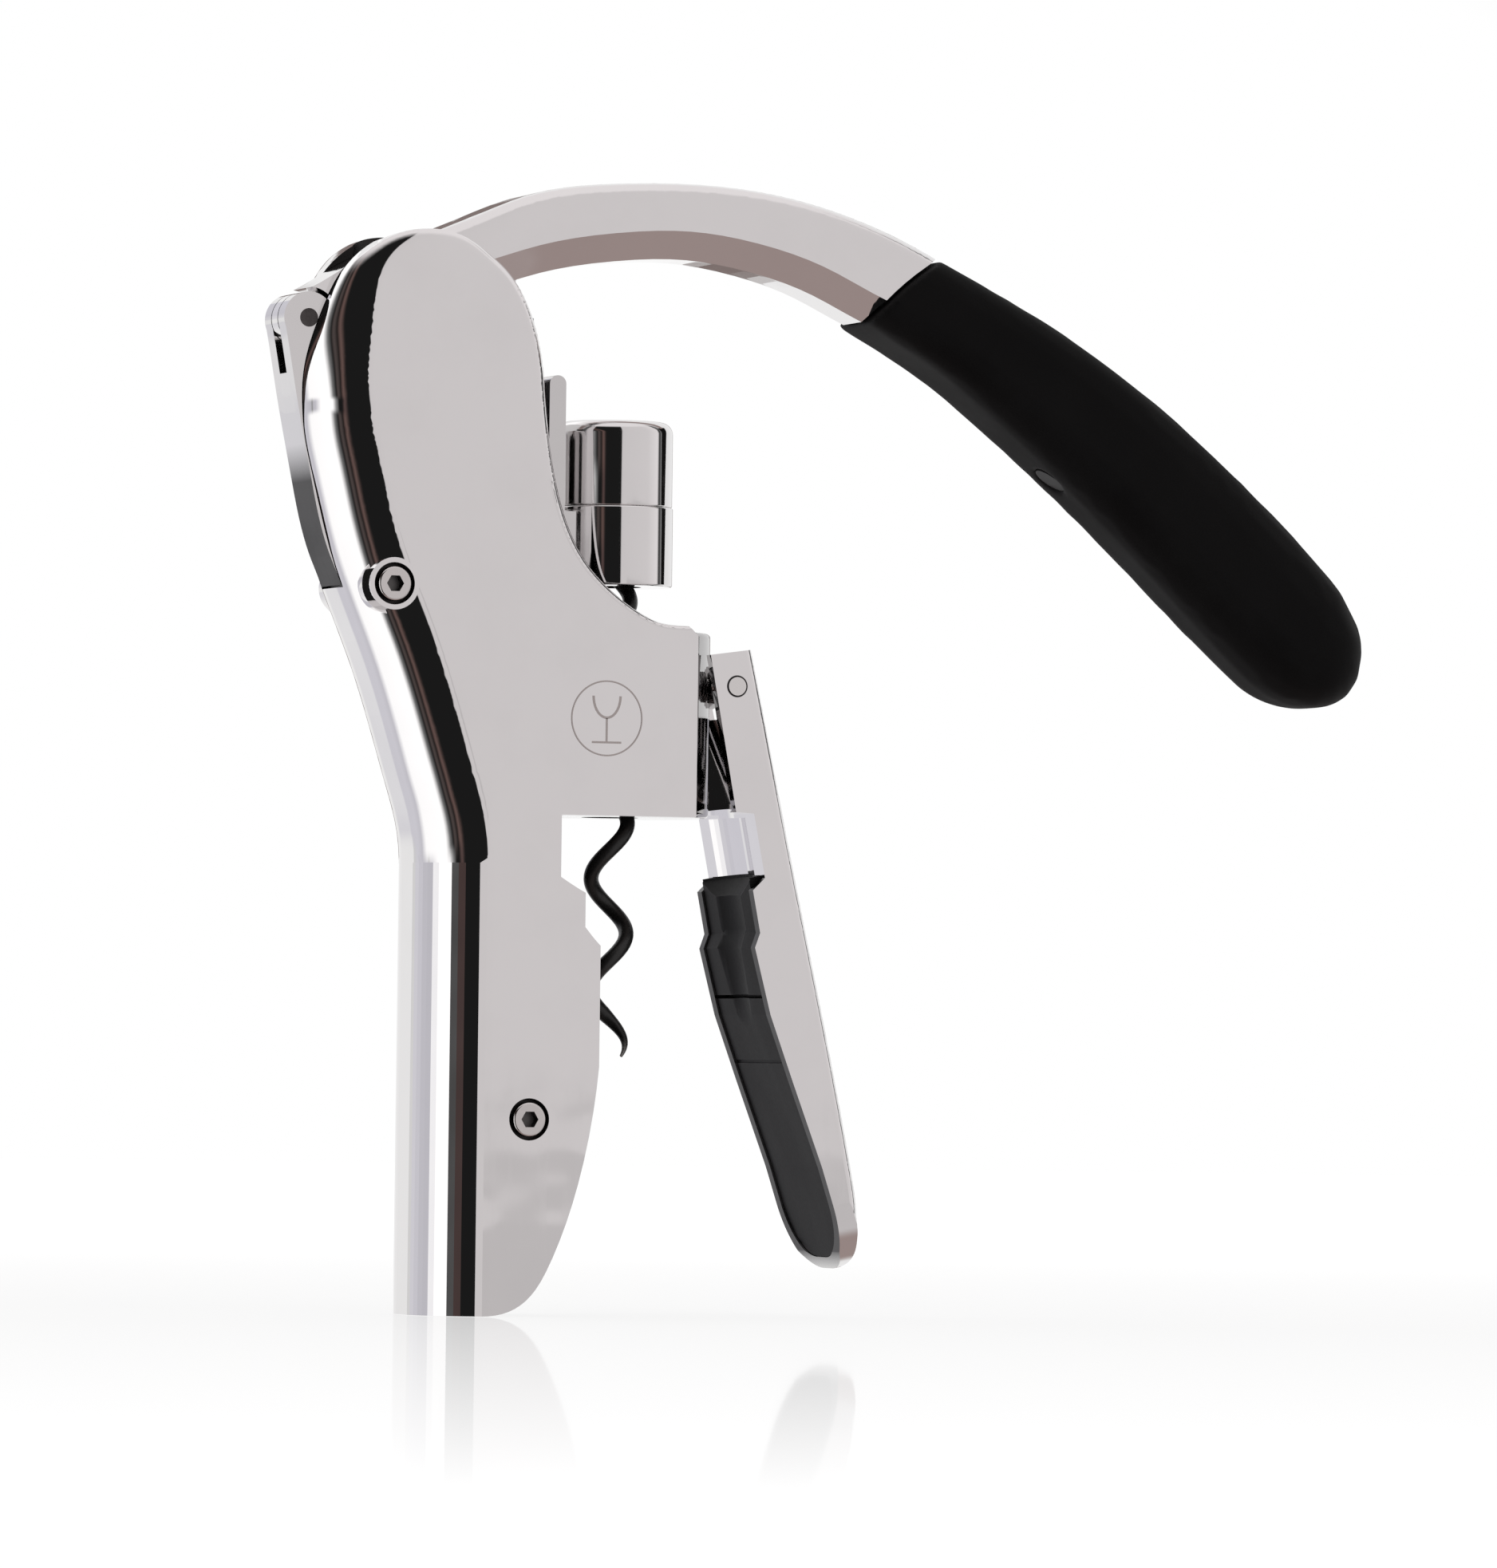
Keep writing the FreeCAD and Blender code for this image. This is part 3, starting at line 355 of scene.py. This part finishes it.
def moulded(name, colour, rough=0.36, grain_mm=0.5, shine=0.25):
    """Moulded black plastic: spark-eroded grain, flow marks and lightly scuffed edges."""
    finish = Finish(name)
    grain = finish.noise(grain_mm, 4, 0.6)
    flow = finish.spread(finish.noise(9, 3, 0.55, (1.0, 1.0, 0.35)), 0.35, 0.7)
    scuff = finish.edges(0.4)
    base = finish.mix(flow, rgba(colour), rgba([c * 1.45 for c in colour]))
    finish.set(
        Base_Color=finish.mix(scuff * 0.35, base, rgba([c * 3.0 + 0.01 for c in colour])),
        Roughness=rough + grain * 0.10 + flow * 0.06,
        Specular_IOR_Level=shine,
        Normal=finish.bump(grain, 0.02, 0.6),
    )
    return finish.data


def coated_wire(name, colour):
    """Non-stick coat on the worm: satin black, thin at the tip where the steel starts to show."""
    finish = Finish(name)
    speck = finish.noise(0.35, 4, 0.65)
    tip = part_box("worm")[0].z
    z = finish.axes()[2]
    bare = finish.spread(z, tip + 3.0 * MM, tip) * finish.spread(speck, 0.35, 0.6)
    finish.set(
        Base_Color=finish.mix(bare, rgba(colour), (0.35, 0.34, 0.33, 1.0)),
        Metallic=bare * 0.9,
        Roughness=0.33 + speck * 0.14,
        Normal=finish.bump(speck, 0.02, 0.6),
    )
    return finish.data


# ---------------------------------------------------------------- mesh helpers

def deselect():
    if bpy.context.object and bpy.context.object.mode != "OBJECT":
        bpy.ops.object.mode_set(mode="OBJECT")
    bpy.ops.object.select_all(action="DESELECT")


def pick(obj):
    deselect()
    obj.select_set(True)
    bpy.context.view_layer.objects.active = obj


def settle(obj, name, body, material, smooth_angle=35.0):
    """Bakes the place into the mesh, gives name, body, slot and finish."""
    pick(obj)
    bpy.ops.object.transform_apply(location=True, rotation=True, scale=True)
    obj.name = name
    obj.data.name = name
    obj.data.materials.clear()
    obj.data.materials.append(material)
    bpy.ops.object.shade_smooth_by_angle(angle=math.radians(smooth_angle))
    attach(obj, body)
    return obj


def flat_regions(bm, least_mm2=10.0):
    """Faces that belong to a large flat, each with the flat's normal."""
    flats = {}
    seen = set()
    for start in bm.faces:
        if start in seen:
            continue
        region, queue = [], [start]
        seen.add(start)
        while queue:
            face = queue.pop()
            region.append(face)
            for edge in face.edges:
                for other in edge.link_faces:
                    if other not in seen and other.normal.dot(start.normal) > 0.99998:
                        seen.add(other)
                        queue.append(other)
        if sum(face.calc_area() for face in region) > least_mm2 * MM * MM:
            flats.update((face, start.normal.copy()) for face in region)
    return flats


def fair(obj, crease=30.0, truth=None):
    """Corner normals for polished faces: flats stay flat, and curved faces blend without their facets."""
    bm = bmesh.new()
    bm.from_mesh(obj.data)
    bm.normal_update()
    flats = flat_regions(bm)
    least = math.cos(math.radians(crease))
    close = math.cos(math.radians(32.0))
    normals = []
    for face in bm.faces:
        for corner in face.loops:
            normal = flats.get(face)
            if normal is None:
                near = [c for c in corner.vert.link_loops if c.face.normal.dot(face.normal) > least]
                planes = [flats[c.face] for c in near if c.face in flats]
                if planes:
                    normal = max(planes, key=face.normal.dot)
                else:
                    normal = sum((c.face.normal * c.calc_angle() for c in near), Vector())
                exact = truth(corner.vert.co) if truth else None
                if exact and exact.dot(face.normal) > close:
                    normal = exact
            normals.append(normal.normalized())
    bm.free()
    obj.data.normals_split_custom_set(normals)


def spline(points, steps=24):
    """Points along a smooth curve through the given ones."""
    ends = [points[0], *points, points[-1]]
    fine = []
    for a, b, c, d in zip(ends, ends[1:], ends[2:], ends[3:]):
        a, b, c, d = map(Vector, (a, b, c, d))
        for i in range(steps):
            t = i / steps
            fine.append(0.5 * (2 * b + (c - a) * t + (2 * a - 5 * b + 4 * c - d) * t ** 2
                               + (3 * b - a - 3 * c + d) * t ** 3))
    fine.append(Vector(points[-1]))
    return fine


def eased(share):
    """Share from 0 to 1 with soft ends."""
    share = min(max(share, 0.0), 1.0)
    return share * share * (3.0 - 2.0 * share)


def spine_truth():
    """Exact normal of the casing's big rounding at a place, from its outline and its radius there."""
    stations = [Vector((p.x * MM, p.y * MM, p.z * MM)) for p in spline(SPINE)]
    tree = KDTree(len(stations))
    for i, p in enumerate(stations):
        tree.insert((p.x, 0.0, p.y), i)
    tree.balance()
    last = len(stations) - 2

    def truth(place):
        index = tree.find((place.x, 0.0, place.z))[1]
        index = min(max(index, 1), last)
        before, here, after = stations[index - 1], stations[index], stations[index + 1]
        along = Vector((after.x - before.x, 0.0, after.y - before.y))
        slope = (after.z - before.z) / along.length
        step = Vector((place.x - here.x, 0.0, place.z - here.y)).dot(along.normalized())
        span = (after - here if step > 0 else here - before).to_2d().length
        near = stations[index + 1] if step > 0 else stations[index - 1]
        far = stations[min(max(index + (2 if step > 0 else -2), 0), last + 1)]
        next_along = Vector((far.x - here.x, 0.0, far.y - here.y)) * (1 if step > 0 else -1)
        share = min(abs(step) / max(span, 1e-9), 1.0)
        along = along.normalized().lerp(next_along.normalized(), share).normalized()
        radius = here.z + (near.z - here.z) * share
        depth = -CHEEK_Y - abs(place.y)
        rise = min(max((radius - depth) / radius, 0.0), 1.0)
        turn = math.acos(rise)
        turn += CHEEK_LEAN * eased(turn / LEAN_IN) * (1.0 - eased((turn - LEAN_HOLD) / LEAN_OUT))
        rise, level = math.cos(turn), math.sin(turn)
        outward = Vector((-along.z, 0.0, along.x))
        across = Vector((0.0, math.copysign(1.0, place.y), 0.0))
        return (outward * level + across * rise + along * slope * (level + rise - 1.0)).normalized()

    return truth


def joined_copy(node, name):
    """Copy of a node with its loose triangles joined."""
    mesh = NODES[node].data.copy()
    obj = bpy.data.objects.new(name, mesh)
    bpy.context.scene.collection.objects.link(obj)
    pick(obj)
    if mesh.has_custom_normals:
        bpy.ops.mesh.customdata_custom_splitnormals_clear()
    bpy.ops.object.mode_set(mode="EDIT")
    bpy.ops.mesh.select_all(action="SELECT")
    bpy.ops.mesh.remove_doubles(threshold=0.002 * MM)
    bpy.ops.object.mode_set(mode="OBJECT")
    return obj


def faired_copy(node, name, body, material, crease=30.0, truth=None):
    """Copy of a node whose polished faces shade as one surface."""
    obj = joined_copy(node, name)
    settle(obj, name, body, material, 180.0)
    fair(obj, crease, truth)
    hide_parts(node)
    return obj


def softened_copy(node, name, body, material, voxel_mm=0.5, rounds=12):
    """Copy of a node remade as one even skin and eased, for a soft moulded cover."""
    obj = joined_copy(node, name)
    remesh = obj.modifiers.new("skin", "REMESH")
    remesh.mode = "VOXEL"
    remesh.voxel_size = voxel_mm * MM
    ease = obj.modifiers.new("ease", "SMOOTH")
    ease.factor = 0.5
    ease.iterations = rounds
    pick(obj)
    for modifier in ("skin", "ease"):
        bpy.ops.object.modifier_apply(modifier=modifier)
    settle(obj, name, body, material, 60.0)
    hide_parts(node)
    return obj


def paint(node, material):
    """A node whose shape stands as it is gets its finish in every slot."""
    mesh = NODES[node].data
    for index in range(max(1, len(mesh.materials))):
        if index < len(mesh.materials):
            mesh.materials[index] = material
        else:
            mesh.materials.append(material)


# ---------------------------------------------------------------- settings

class CorkscrewColours(bpy.types.PropertyGroup):
    """Colours of the finishes."""
    chrome: FloatVectorProperty(
        name="Chrome", description="Plate on casing, lever and grip", subtype="COLOR",
        default=(0.83, 0.815, 0.815), min=0.0, max=1.0)
    grip: FloatVectorProperty(
        name="Handle grip", description="Soft coat of the handle", subtype="COLOR",
        default=(0.0016, 0.0014, 0.0015), min=0.0, max=1.0)
    pad: FloatVectorProperty(
        name="Jaw pads", description="Plastic of the pads that hold the neck", subtype="COLOR",
        default=(0.008, 0.0075, 0.008), min=0.0, max=1.0)
    worm: FloatVectorProperty(
        name="Worm", description="Non-stick coat of the worm", subtype="COLOR",
        default=(0.012, 0.0115, 0.011), min=0.0, max=1.0)


class CorkscrewEmblem(bpy.types.PropertyGroup):
    """Etched emblem."""
    centre: FloatVectorProperty(
        name="Centre", description="Middle of the emblem on the cheek", subtype="XYZ", unit="LENGTH",
        default=(-0.0054, 0.0, 0.0157))
    radius: FloatProperty(name="Radius", description="Ring's radius", unit="LENGTH", default=0.0060)
    line: FloatProperty(
        name="Line", description="Width of the etched lines", unit="LENGTH", default=0.00026)


class CorkscrewStage(bpy.types.PropertyGroup):
    """Camera and studio."""
    azimuth: FloatProperty(
        name="Azimuth", description="Camera's turn about the worm's axis", subtype="ANGLE",
        default=math.radians(-19.876))
    distance: FloatProperty(
        name="Distance", description="Camera to the worm's axis", unit="LENGTH", default=1.8)
    eye_height: FloatProperty(
        name="Eye height", description="Camera above the lip seat", unit="LENGTH", default=-0.042)
    focal: FloatProperty(
        name="Focal length", description="Lens in millimetres", default=254.34, min=20.0)
    horizon_grey: FloatProperty(
        name="Wall", description="Brightness of the grey wall that the flat cheek mirrors", default=0.685)


# ---------------------------------------------------------------- operators

class CORKSCREW_OT_casing(bpy.types.Operator):
    """Two plated casing halves with the block, rails and lining between them"""
    bl_idname = "corkscrew.casing"
    bl_label = "Casing"

    def execute(self, context):
        colours = context.scene.corkscrew_colours
        chrome = plated("casing_chrome", colours.chrome, 0.02, 0.03, 0.10, casing_shade)
        truth = spine_truth()
        for side in ("left", "right"):
            node = side + "_casing"
            faired_copy(node, side + "_shell", "casing", chrome, 30.0, truth)
        block = plated("block_chrome", [c * 0.60 for c in colours.chrome], 0.06, 0.05)
        faired_copy("head_block", "block_body", "casing", block)
        steel = machined("inner_steel", (0.50, 0.50, 0.51))
        for node in ("nut_retainer", "left_guide_rail", "right_guide_rail", "rocker_axle", "axle_spacers",
                     "lower_spacer"):
            paint(node, steel)
        rubber = moulded("jaw_rubber", colours.pad, 0.5, 0.35)
        paint("rear_jaw_pad", rubber)
        paint("rail_bumpers", rubber)
        paint("worm_nut", moulded("nut_nylon", (0.02, 0.02, 0.02), 0.42))
        return {"FINISHED"}


class CORKSCREW_OT_screws(bpy.types.Operator):
    """Socket-cap screws, pins and springs"""
    bl_idname = "corkscrew.screws"
    bl_label = "Screws and pins"

    def execute(self, context):
        head = plated("screw_plate", (0.70, 0.67, 0.66), 0.12, 0.08, 0.0, socket_shade)
        faired_copy("axle_screws", "upper_screw_pair", "casing", head)
        faired_copy("lower_screws", "lower_screw_pair", "casing", head)
        pin = plated("pin_plate", (0.78, 0.76, 0.75), 0.10, 0.06)
        faired_copy("grip_hinge_pin", "hinge_pin", "casing", pin)
        dark = machined("pin_dark", (0.11, 0.10, 0.10), 0.34)
        faired_copy("rocker_pin", "clevis_pin", "rocker", dark)
        spring = machined("spring_steel", (0.22, 0.21, 0.21), 0.3)
        for node in ("grip_springs", "pin_clips", "head_clip"):
            paint(node, spring)
        steel = machined("pin_steel", (0.52, 0.52, 0.53), 0.24)
        for node in ("crank_pin", "grip_washers", "housing_screws", "worm_head"):
            paint(node, steel)
        paint("handle_screw", moulded("blackened_steel", (0.010, 0.0095, 0.010), 0.5, 0.3))
        bronze = machined("bronze", (0.55, 0.40, 0.22), 0.36)
        for node in ("rocker_bushes", "thrust_washer", "bearing_bush"):
            paint(node, bronze)
        return {"FINISHED"}


class CORKSCREW_OT_lever(bpy.types.Operator):
    """Plated lever arm, rocker link and the soft handle"""
    bl_idname = "corkscrew.lever"
    bl_label = "Lever and handle"

    def execute(self, context):
        colours = context.scene.corkscrew_colours
        arm = plated("lever_chrome", colours.chrome, 0.04, 0.04)
        faired_copy("lever_arm", "arm", "lever", arm, 24.0)
        rocker = plated("rocker_chrome", [c * 0.92 for c in colours.chrome], 0.06, 0.05, 0.0, rocker_shade)
        faired_copy("rocker_link", "rocker", "rocker", rocker, 24.0)
        softened_copy("handle_grip", "handle", "lever", soft_touch("soft_grip", colours.grip))
        return {"FINISHED"}


class CORKSCREW_OT_carriage(bpy.types.Operator):
    """Worm housing, its cap, the bracket behind it and the coated worm"""
    bl_idname = "corkscrew.carriage"
    bl_label = "Carriage and worm"

    def execute(self, context):
        colours = context.scene.corkscrew_colours
        cap = plated("cap_chrome", [c * 0.98 for c in colours.chrome], 0.04, 0.04)
        faired_copy("worm_housing", "housing_body", "carriage", cap)
        faired_copy("worm_cap", "cap_body", "carriage", cap)
        bracket = plated("bracket_chrome", [c * 0.85 for c in colours.chrome], 0.10, 0.06)
        faired_copy("carriage_bracket", "bracket_body", "carriage", bracket)
        paint("guide_shoes", moulded("shoe_nylon", (0.02, 0.02, 0.02), 0.4))
        coating = coated_wire("worm_coating", colours.worm)
        faired_copy("worm", "worm_wire", "worm", coating, 50.0)
        return {"FINISHED"}


class CORKSCREW_OT_clamp(bpy.types.Operator):
    """Clamping grip and its pad"""
    bl_idname = "corkscrew.clamp"
    bl_label = "Clamping grip"

    def execute(self, context):
        colours = context.scene.corkscrew_colours
        shell = plated("grip_chrome", colours.chrome, 0.02, 0.03, 0.05, grip_shade)
        faired_copy("grip_shell", "clamp_shell", "grip", shell)
        plastic = moulded("pad_plastic", colours.pad, 0.44, 0.5, 0.10)
        faired_copy("grip_pad", "clamp_pad", "grip", plastic)
        return {"FINISHED"}


class CORKSCREW_OT_emblem(bpy.types.Operator):
    """Plain etched emblem on the near cheek: a wine glass in a ring"""
    bl_idname = "corkscrew.emblem"
    bl_label = "Emblem"

    def execute(self, context):
        emblem = context.scene.corkscrew_emblem
        etched = plated("etched_line", (0.50, 0.455, 0.44), 0.34, 0.10)
        centre = Vector(emblem.centre)
        place = Vector((centre.x, CHEEK_Y - EMBLEM_PROUD, centre.z))
        deselect()
        bpy.ops.mesh.primitive_torus_add(
            major_radius=emblem.radius, minor_radius=emblem.line * 0.5, major_segments=96, minor_segments=8,
            location=place, rotation=(math.pi / 2, 0.0, 0.0))
        ring = bpy.context.object
        ring.scale = (1.0, 1.0, 0.12)
        settle(ring, "emblem_ring", "casing", etched)
        for name, outline in glass_outlines(emblem.radius, emblem.line).items():
            glass = plate(outline, place)
            settle(glass, name, "casing", etched)
        return {"FINISHED"}


def glass_outlines(radius, line):
    """Bowl, stem and foot of a wine glass that fits in a ring, as closed outlines about its centre."""
    brim, depth = radius * 0.42, radius * 0.62
    top = radius * 0.60
    steps = 18
    turns = [math.pi * i / steps for i in range(steps + 1)]
    outer = [(math.cos(turn) * brim, top - math.sin(turn) * depth) for turn in turns]
    wall = line * 1.6
    inner = [(x * (1 - wall / brim), top - (top - z) * (1 - wall / depth)) for x, z in reversed(outer)]
    stem_top = top - depth + line * 0.4
    foot = -radius * 0.62
    half = line * 0.7
    return {
        "emblem_bowl": outer + inner,
        "emblem_stem": [(-half, stem_top), (-half, foot), (half, foot), (half, stem_top)],
        "emblem_foot": [(-brim, foot), (-brim, foot - line * 1.3), (brim, foot - line * 1.3), (brim, foot)],
    }


def plate(outline, place):
    """Thin flat piece with an outline in the XZ plane, standing just proud of the cheek."""
    deselect()
    mesh = bpy.data.meshes.new("plate")
    mesh.from_pydata([(x, 0.0, z) for x, z in outline], [], [range(len(outline))])
    obj = bpy.data.objects.new("plate", mesh)
    bpy.context.scene.collection.objects.link(obj)
    obj.location = place
    pick(obj)
    bpy.ops.object.mode_set(mode="EDIT")
    bpy.ops.mesh.select_all(action="SELECT")
    bpy.ops.mesh.extrude_region_move(TRANSFORM_OT_translate={"value": (0.0, EMBLEM_PROUD * 2, 0.0)})
    bpy.ops.mesh.select_all(action="SELECT")
    bpy.ops.mesh.normals_make_consistent(inside=False)
    bpy.ops.object.mode_set(mode="OBJECT")
    return obj


class CORKSCREW_OT_stage(bpy.types.Operator):
    """Pale floor, soft studio and the camera"""
    bl_idname = "corkscrew.stage"
    bl_label = "Stage"

    def execute(self, context):
        stage = context.scene.corkscrew_stage
        self.floor()
        self.studio(context, stage)
        self.camera(context, stage)
        return {"FINISHED"}

    def floor(self):
        """A pale disc under the casing with a mirror image that fades away from the tool."""
        deselect()
        place = (0, 0, BASE_Z - FLOOR_DROP)
        bpy.ops.mesh.primitive_circle_add(vertices=96, radius=3.0, fill_type="NGON", location=place)
        disc = bpy.context.object
        bpy.ops.object.transform_apply(location=True, rotation=True, scale=True)
        disc.name = "floor"
        finish = Finish("pale_floor")
        x, y, _ = finish.axes()
        reach = (x * x + y * y) ** 0.5
        drop = (MIRROR_EYE / (MIRROR_EYE - reach) - 1.0) * MIRROR_HEIGHT
        fade = finish.spread(drop, 0.0, MIRROR_DEPTH, MIRROR_SHARE, 0.0) * (reach < MIRROR_EYE * 0.9)
        finish.set(
            Base_Color=(0.2, 0.2, 0.2, 1.0),
            Roughness=1.0,
            Specular_IOR_Level=0.0,
            Emission_Color=(0.9, 0.9, 0.9, 1.0),
            Emission_Strength=1.0,
        )
        mirror = finish.node("ShaderNodeBsdfGlossy", {}, {"Roughness": 0.03})
        own = Sock(finish, finish.shader.outputs[0])
        both = finish.node("ShaderNodeMixShader", {}, {0: fade, 1: own, 2: mirror})
        output = next(n for n in finish.tree.nodes if n.bl_idname == "ShaderNodeOutputMaterial")
        finish.put(output.inputs["Surface"], both)
        disc.data.materials.append(finish.data)
        disc.visible_glossy = False

    def studio(self, context, stage):
        """A room by direction: a grey wall in front, a dark strip and white panels beside it, a white gate."""
        finish = Finish("studio", world=True)
        direction = finish.node("ShaderNodeTexCoord", out="Generated")
        split = finish.tree.nodes.new("ShaderNodeSeparateXYZ")
        finish.put(split.inputs[0], direction)
        x, y, z = [Sock(finish, split.outputs[i]) for i in range(3)]
        turn = finish.node("ShaderNodeMath", {"operation": "ARCTAN2"}, {0: -x, 1: -y})
        share = turn / (2 * math.pi) + 0.5
        wall = stage.horizon_grey

        def grey(value, tint=(1.0, 1.0, 1.0)):
            return (value * tint[0], value * tint[1], value * tint[2], 1.0)

        warm = (1.0, 0.965, 0.97)
        cool = (0.97, 0.96, 1.04)
        brown = (1.0, 0.80, 0.76)
        dark = 0.012
        front = [
            (-180, grey(0.94)), (-125, grey(0.92)), (-96, grey(0.85)), (-84, grey(0.06)),
            (-80, grey(0.06)), (-76, grey(0.86, warm)), (-50, grey(wall * 1.05, warm)),
            (4.0, grey(wall, warm)), (STRIP_START, grey(dark)),
        ]
        level = [
            *front,
            (36, grey(dark)), (40, grey(0.08, (1.4, 0.9, 0.85))), (44, grey(dark)), (50, grey(dark)),
            (56, grey(0.35)), (62, grey(1.25)), (86, grey(1.25)), (98, grey(0.66, cool)),
            (104, grey(0.60, cool)), (107, grey(0.30)), (110, grey(0.60, cool)), (140, grey(0.74, cool)),
            (154, grey(0.70)), (158, grey(0.9)), (180, grey(0.94)),
        ]
        slant = [
            *front,
            (36, grey(dark)), (41, grey(0.10, (1.5, 0.95, 0.85))), (45, grey(0.02, brown)),
            (50, grey(0.09, brown)), (54, grey(dark)), (60, grey(0.20)), (68, grey(1.25)), (112, grey(1.20)),
            (124, grey(0.66, cool)), (136, grey(0.72, cool)), (158, grey(0.70, cool)), (168, grey(0.92)),
            (180, grey(0.94)),
        ]

        def ramp(stops, across):
            stops = [((angle + 180) / 360, colour) for angle, colour in stops]
            return finish.node("ShaderNodeValToRGB", {"stops": stops}, {0: across})

        past = finish.math("MAXIMUM", share - (180 + STRIP_START) / 360, 0.0)
        upward = finish.smooth(z, 0.06, 0.55)
        drawn_out = share - past * upward * STRETCH
        tilted = finish.smooth(abs(z), 0.026, 0.075)
        band = finish.mix(tilted, ramp(level, share), ramp(slant, drawn_out))
        below = finish.smooth(-z, 0.0075, 0.0100) * (share < 0.48) * (share > 0.28)
        band = finish.mix(below * 0.16, band, grey(0.0))
        room = finish.mix(finish.smooth(z, 0.68, 0.86), band, grey(0.88, warm))
        room = finish.mix(finish.smooth(-z, 0.62, 0.80), room, grey(0.36, brown))
        ahead = Vector((-math.sin(stage.azimuth), math.cos(stage.azimuth), 0.0))
        facing = x * ahead.x + y * ahead.y
        rim = finish.smooth(facing, *[math.cos(math.radians(angle)) for angle in RIM_TURNS])
        gate = finish.smooth(facing, *[math.cos(math.radians(angle)) for angle in GATE_TURNS])
        room = finish.mix(rim, room, grey(0.22, brown))
        finish.set(Color=finish.mix(gate, room, (1.0, 1.0, 1.0, 1.0)), Strength=1.0)
        context.scene.world = finish.data
        context.scene.view_settings.view_transform = "Standard"

    def camera(self, context, stage):
        side = Vector((math.sin(stage.azimuth), -math.cos(stage.azimuth), 0.0))
        eye = side * stage.distance
        eye.z = stage.eye_height
        data = bpy.data.cameras.new("camera")
        data.lens = stage.focal
        data.sensor_width = 36.0
        data.clip_start = 0.05
        data.clip_end = 20.0
        view = bpy.data.objects.new("camera", data)
        context.scene.collection.objects.link(view)
        yaw = PAN - stage.azimuth
        level = math.cos(TILT)
        forward = Vector((math.sin(yaw) * level, math.cos(yaw) * level, math.sin(TILT)))
        turn = forward.to_track_quat("-Z", "Y").to_matrix().to_4x4()
        view.matrix_world = Matrix.Translation(eye) @ turn @ Matrix.Rotation(ROLL, 4, "Z")
        context.scene.camera = view


class CORKSCREW_PT_panel(bpy.types.Panel):
    """Buttons and settings of the corkscrew"""
    bl_idname = "CORKSCREW_PT_panel"
    bl_label = "Corkscrew"
    bl_space_type = "VIEW_3D"
    bl_region_type = "UI"
    bl_category = "Corkscrew"

    def draw(self, context):
        for group in (getattr(context.scene, name) for name in GROUPS):
            box = self.layout.box()
            for key in group.__annotations__:
                box.prop(group, key)
        for operator in OPERATORS:
            self.layout.operator(operator.bl_idname)


GROUPS = {
    "corkscrew_colours": CorkscrewColours,
    "corkscrew_emblem": CorkscrewEmblem,
    "corkscrew_stage": CorkscrewStage,
}
OPERATORS = (
    CORKSCREW_OT_casing,
    CORKSCREW_OT_screws,
    CORKSCREW_OT_lever,
    CORKSCREW_OT_carriage,
    CORKSCREW_OT_clamp,
    CORKSCREW_OT_emblem,
    CORKSCREW_OT_stage,
)
CLASSES = (*GROUPS.values(), *OPERATORS, CORKSCREW_PT_panel)


def register():
    for kind in CLASSES:
        bpy.utils.register_class(kind)
    for name, group in GROUPS.items():
        setattr(bpy.types.Scene, name, PointerProperty(type=group))


def unregister():
    for name in GROUPS:
        delattr(bpy.types.Scene, name)
    for kind in reversed(CLASSES):
        bpy.utils.unregister_class(kind)


def main():
    register()
    bpy.ops.corkscrew.casing()
    bpy.ops.corkscrew.screws()
    bpy.ops.corkscrew.lever()
    bpy.ops.corkscrew.carriage()
    bpy.ops.corkscrew.clamp()
    bpy.ops.corkscrew.emblem()
    bpy.ops.corkscrew.stage()


if __name__ == "__main__":
    main()
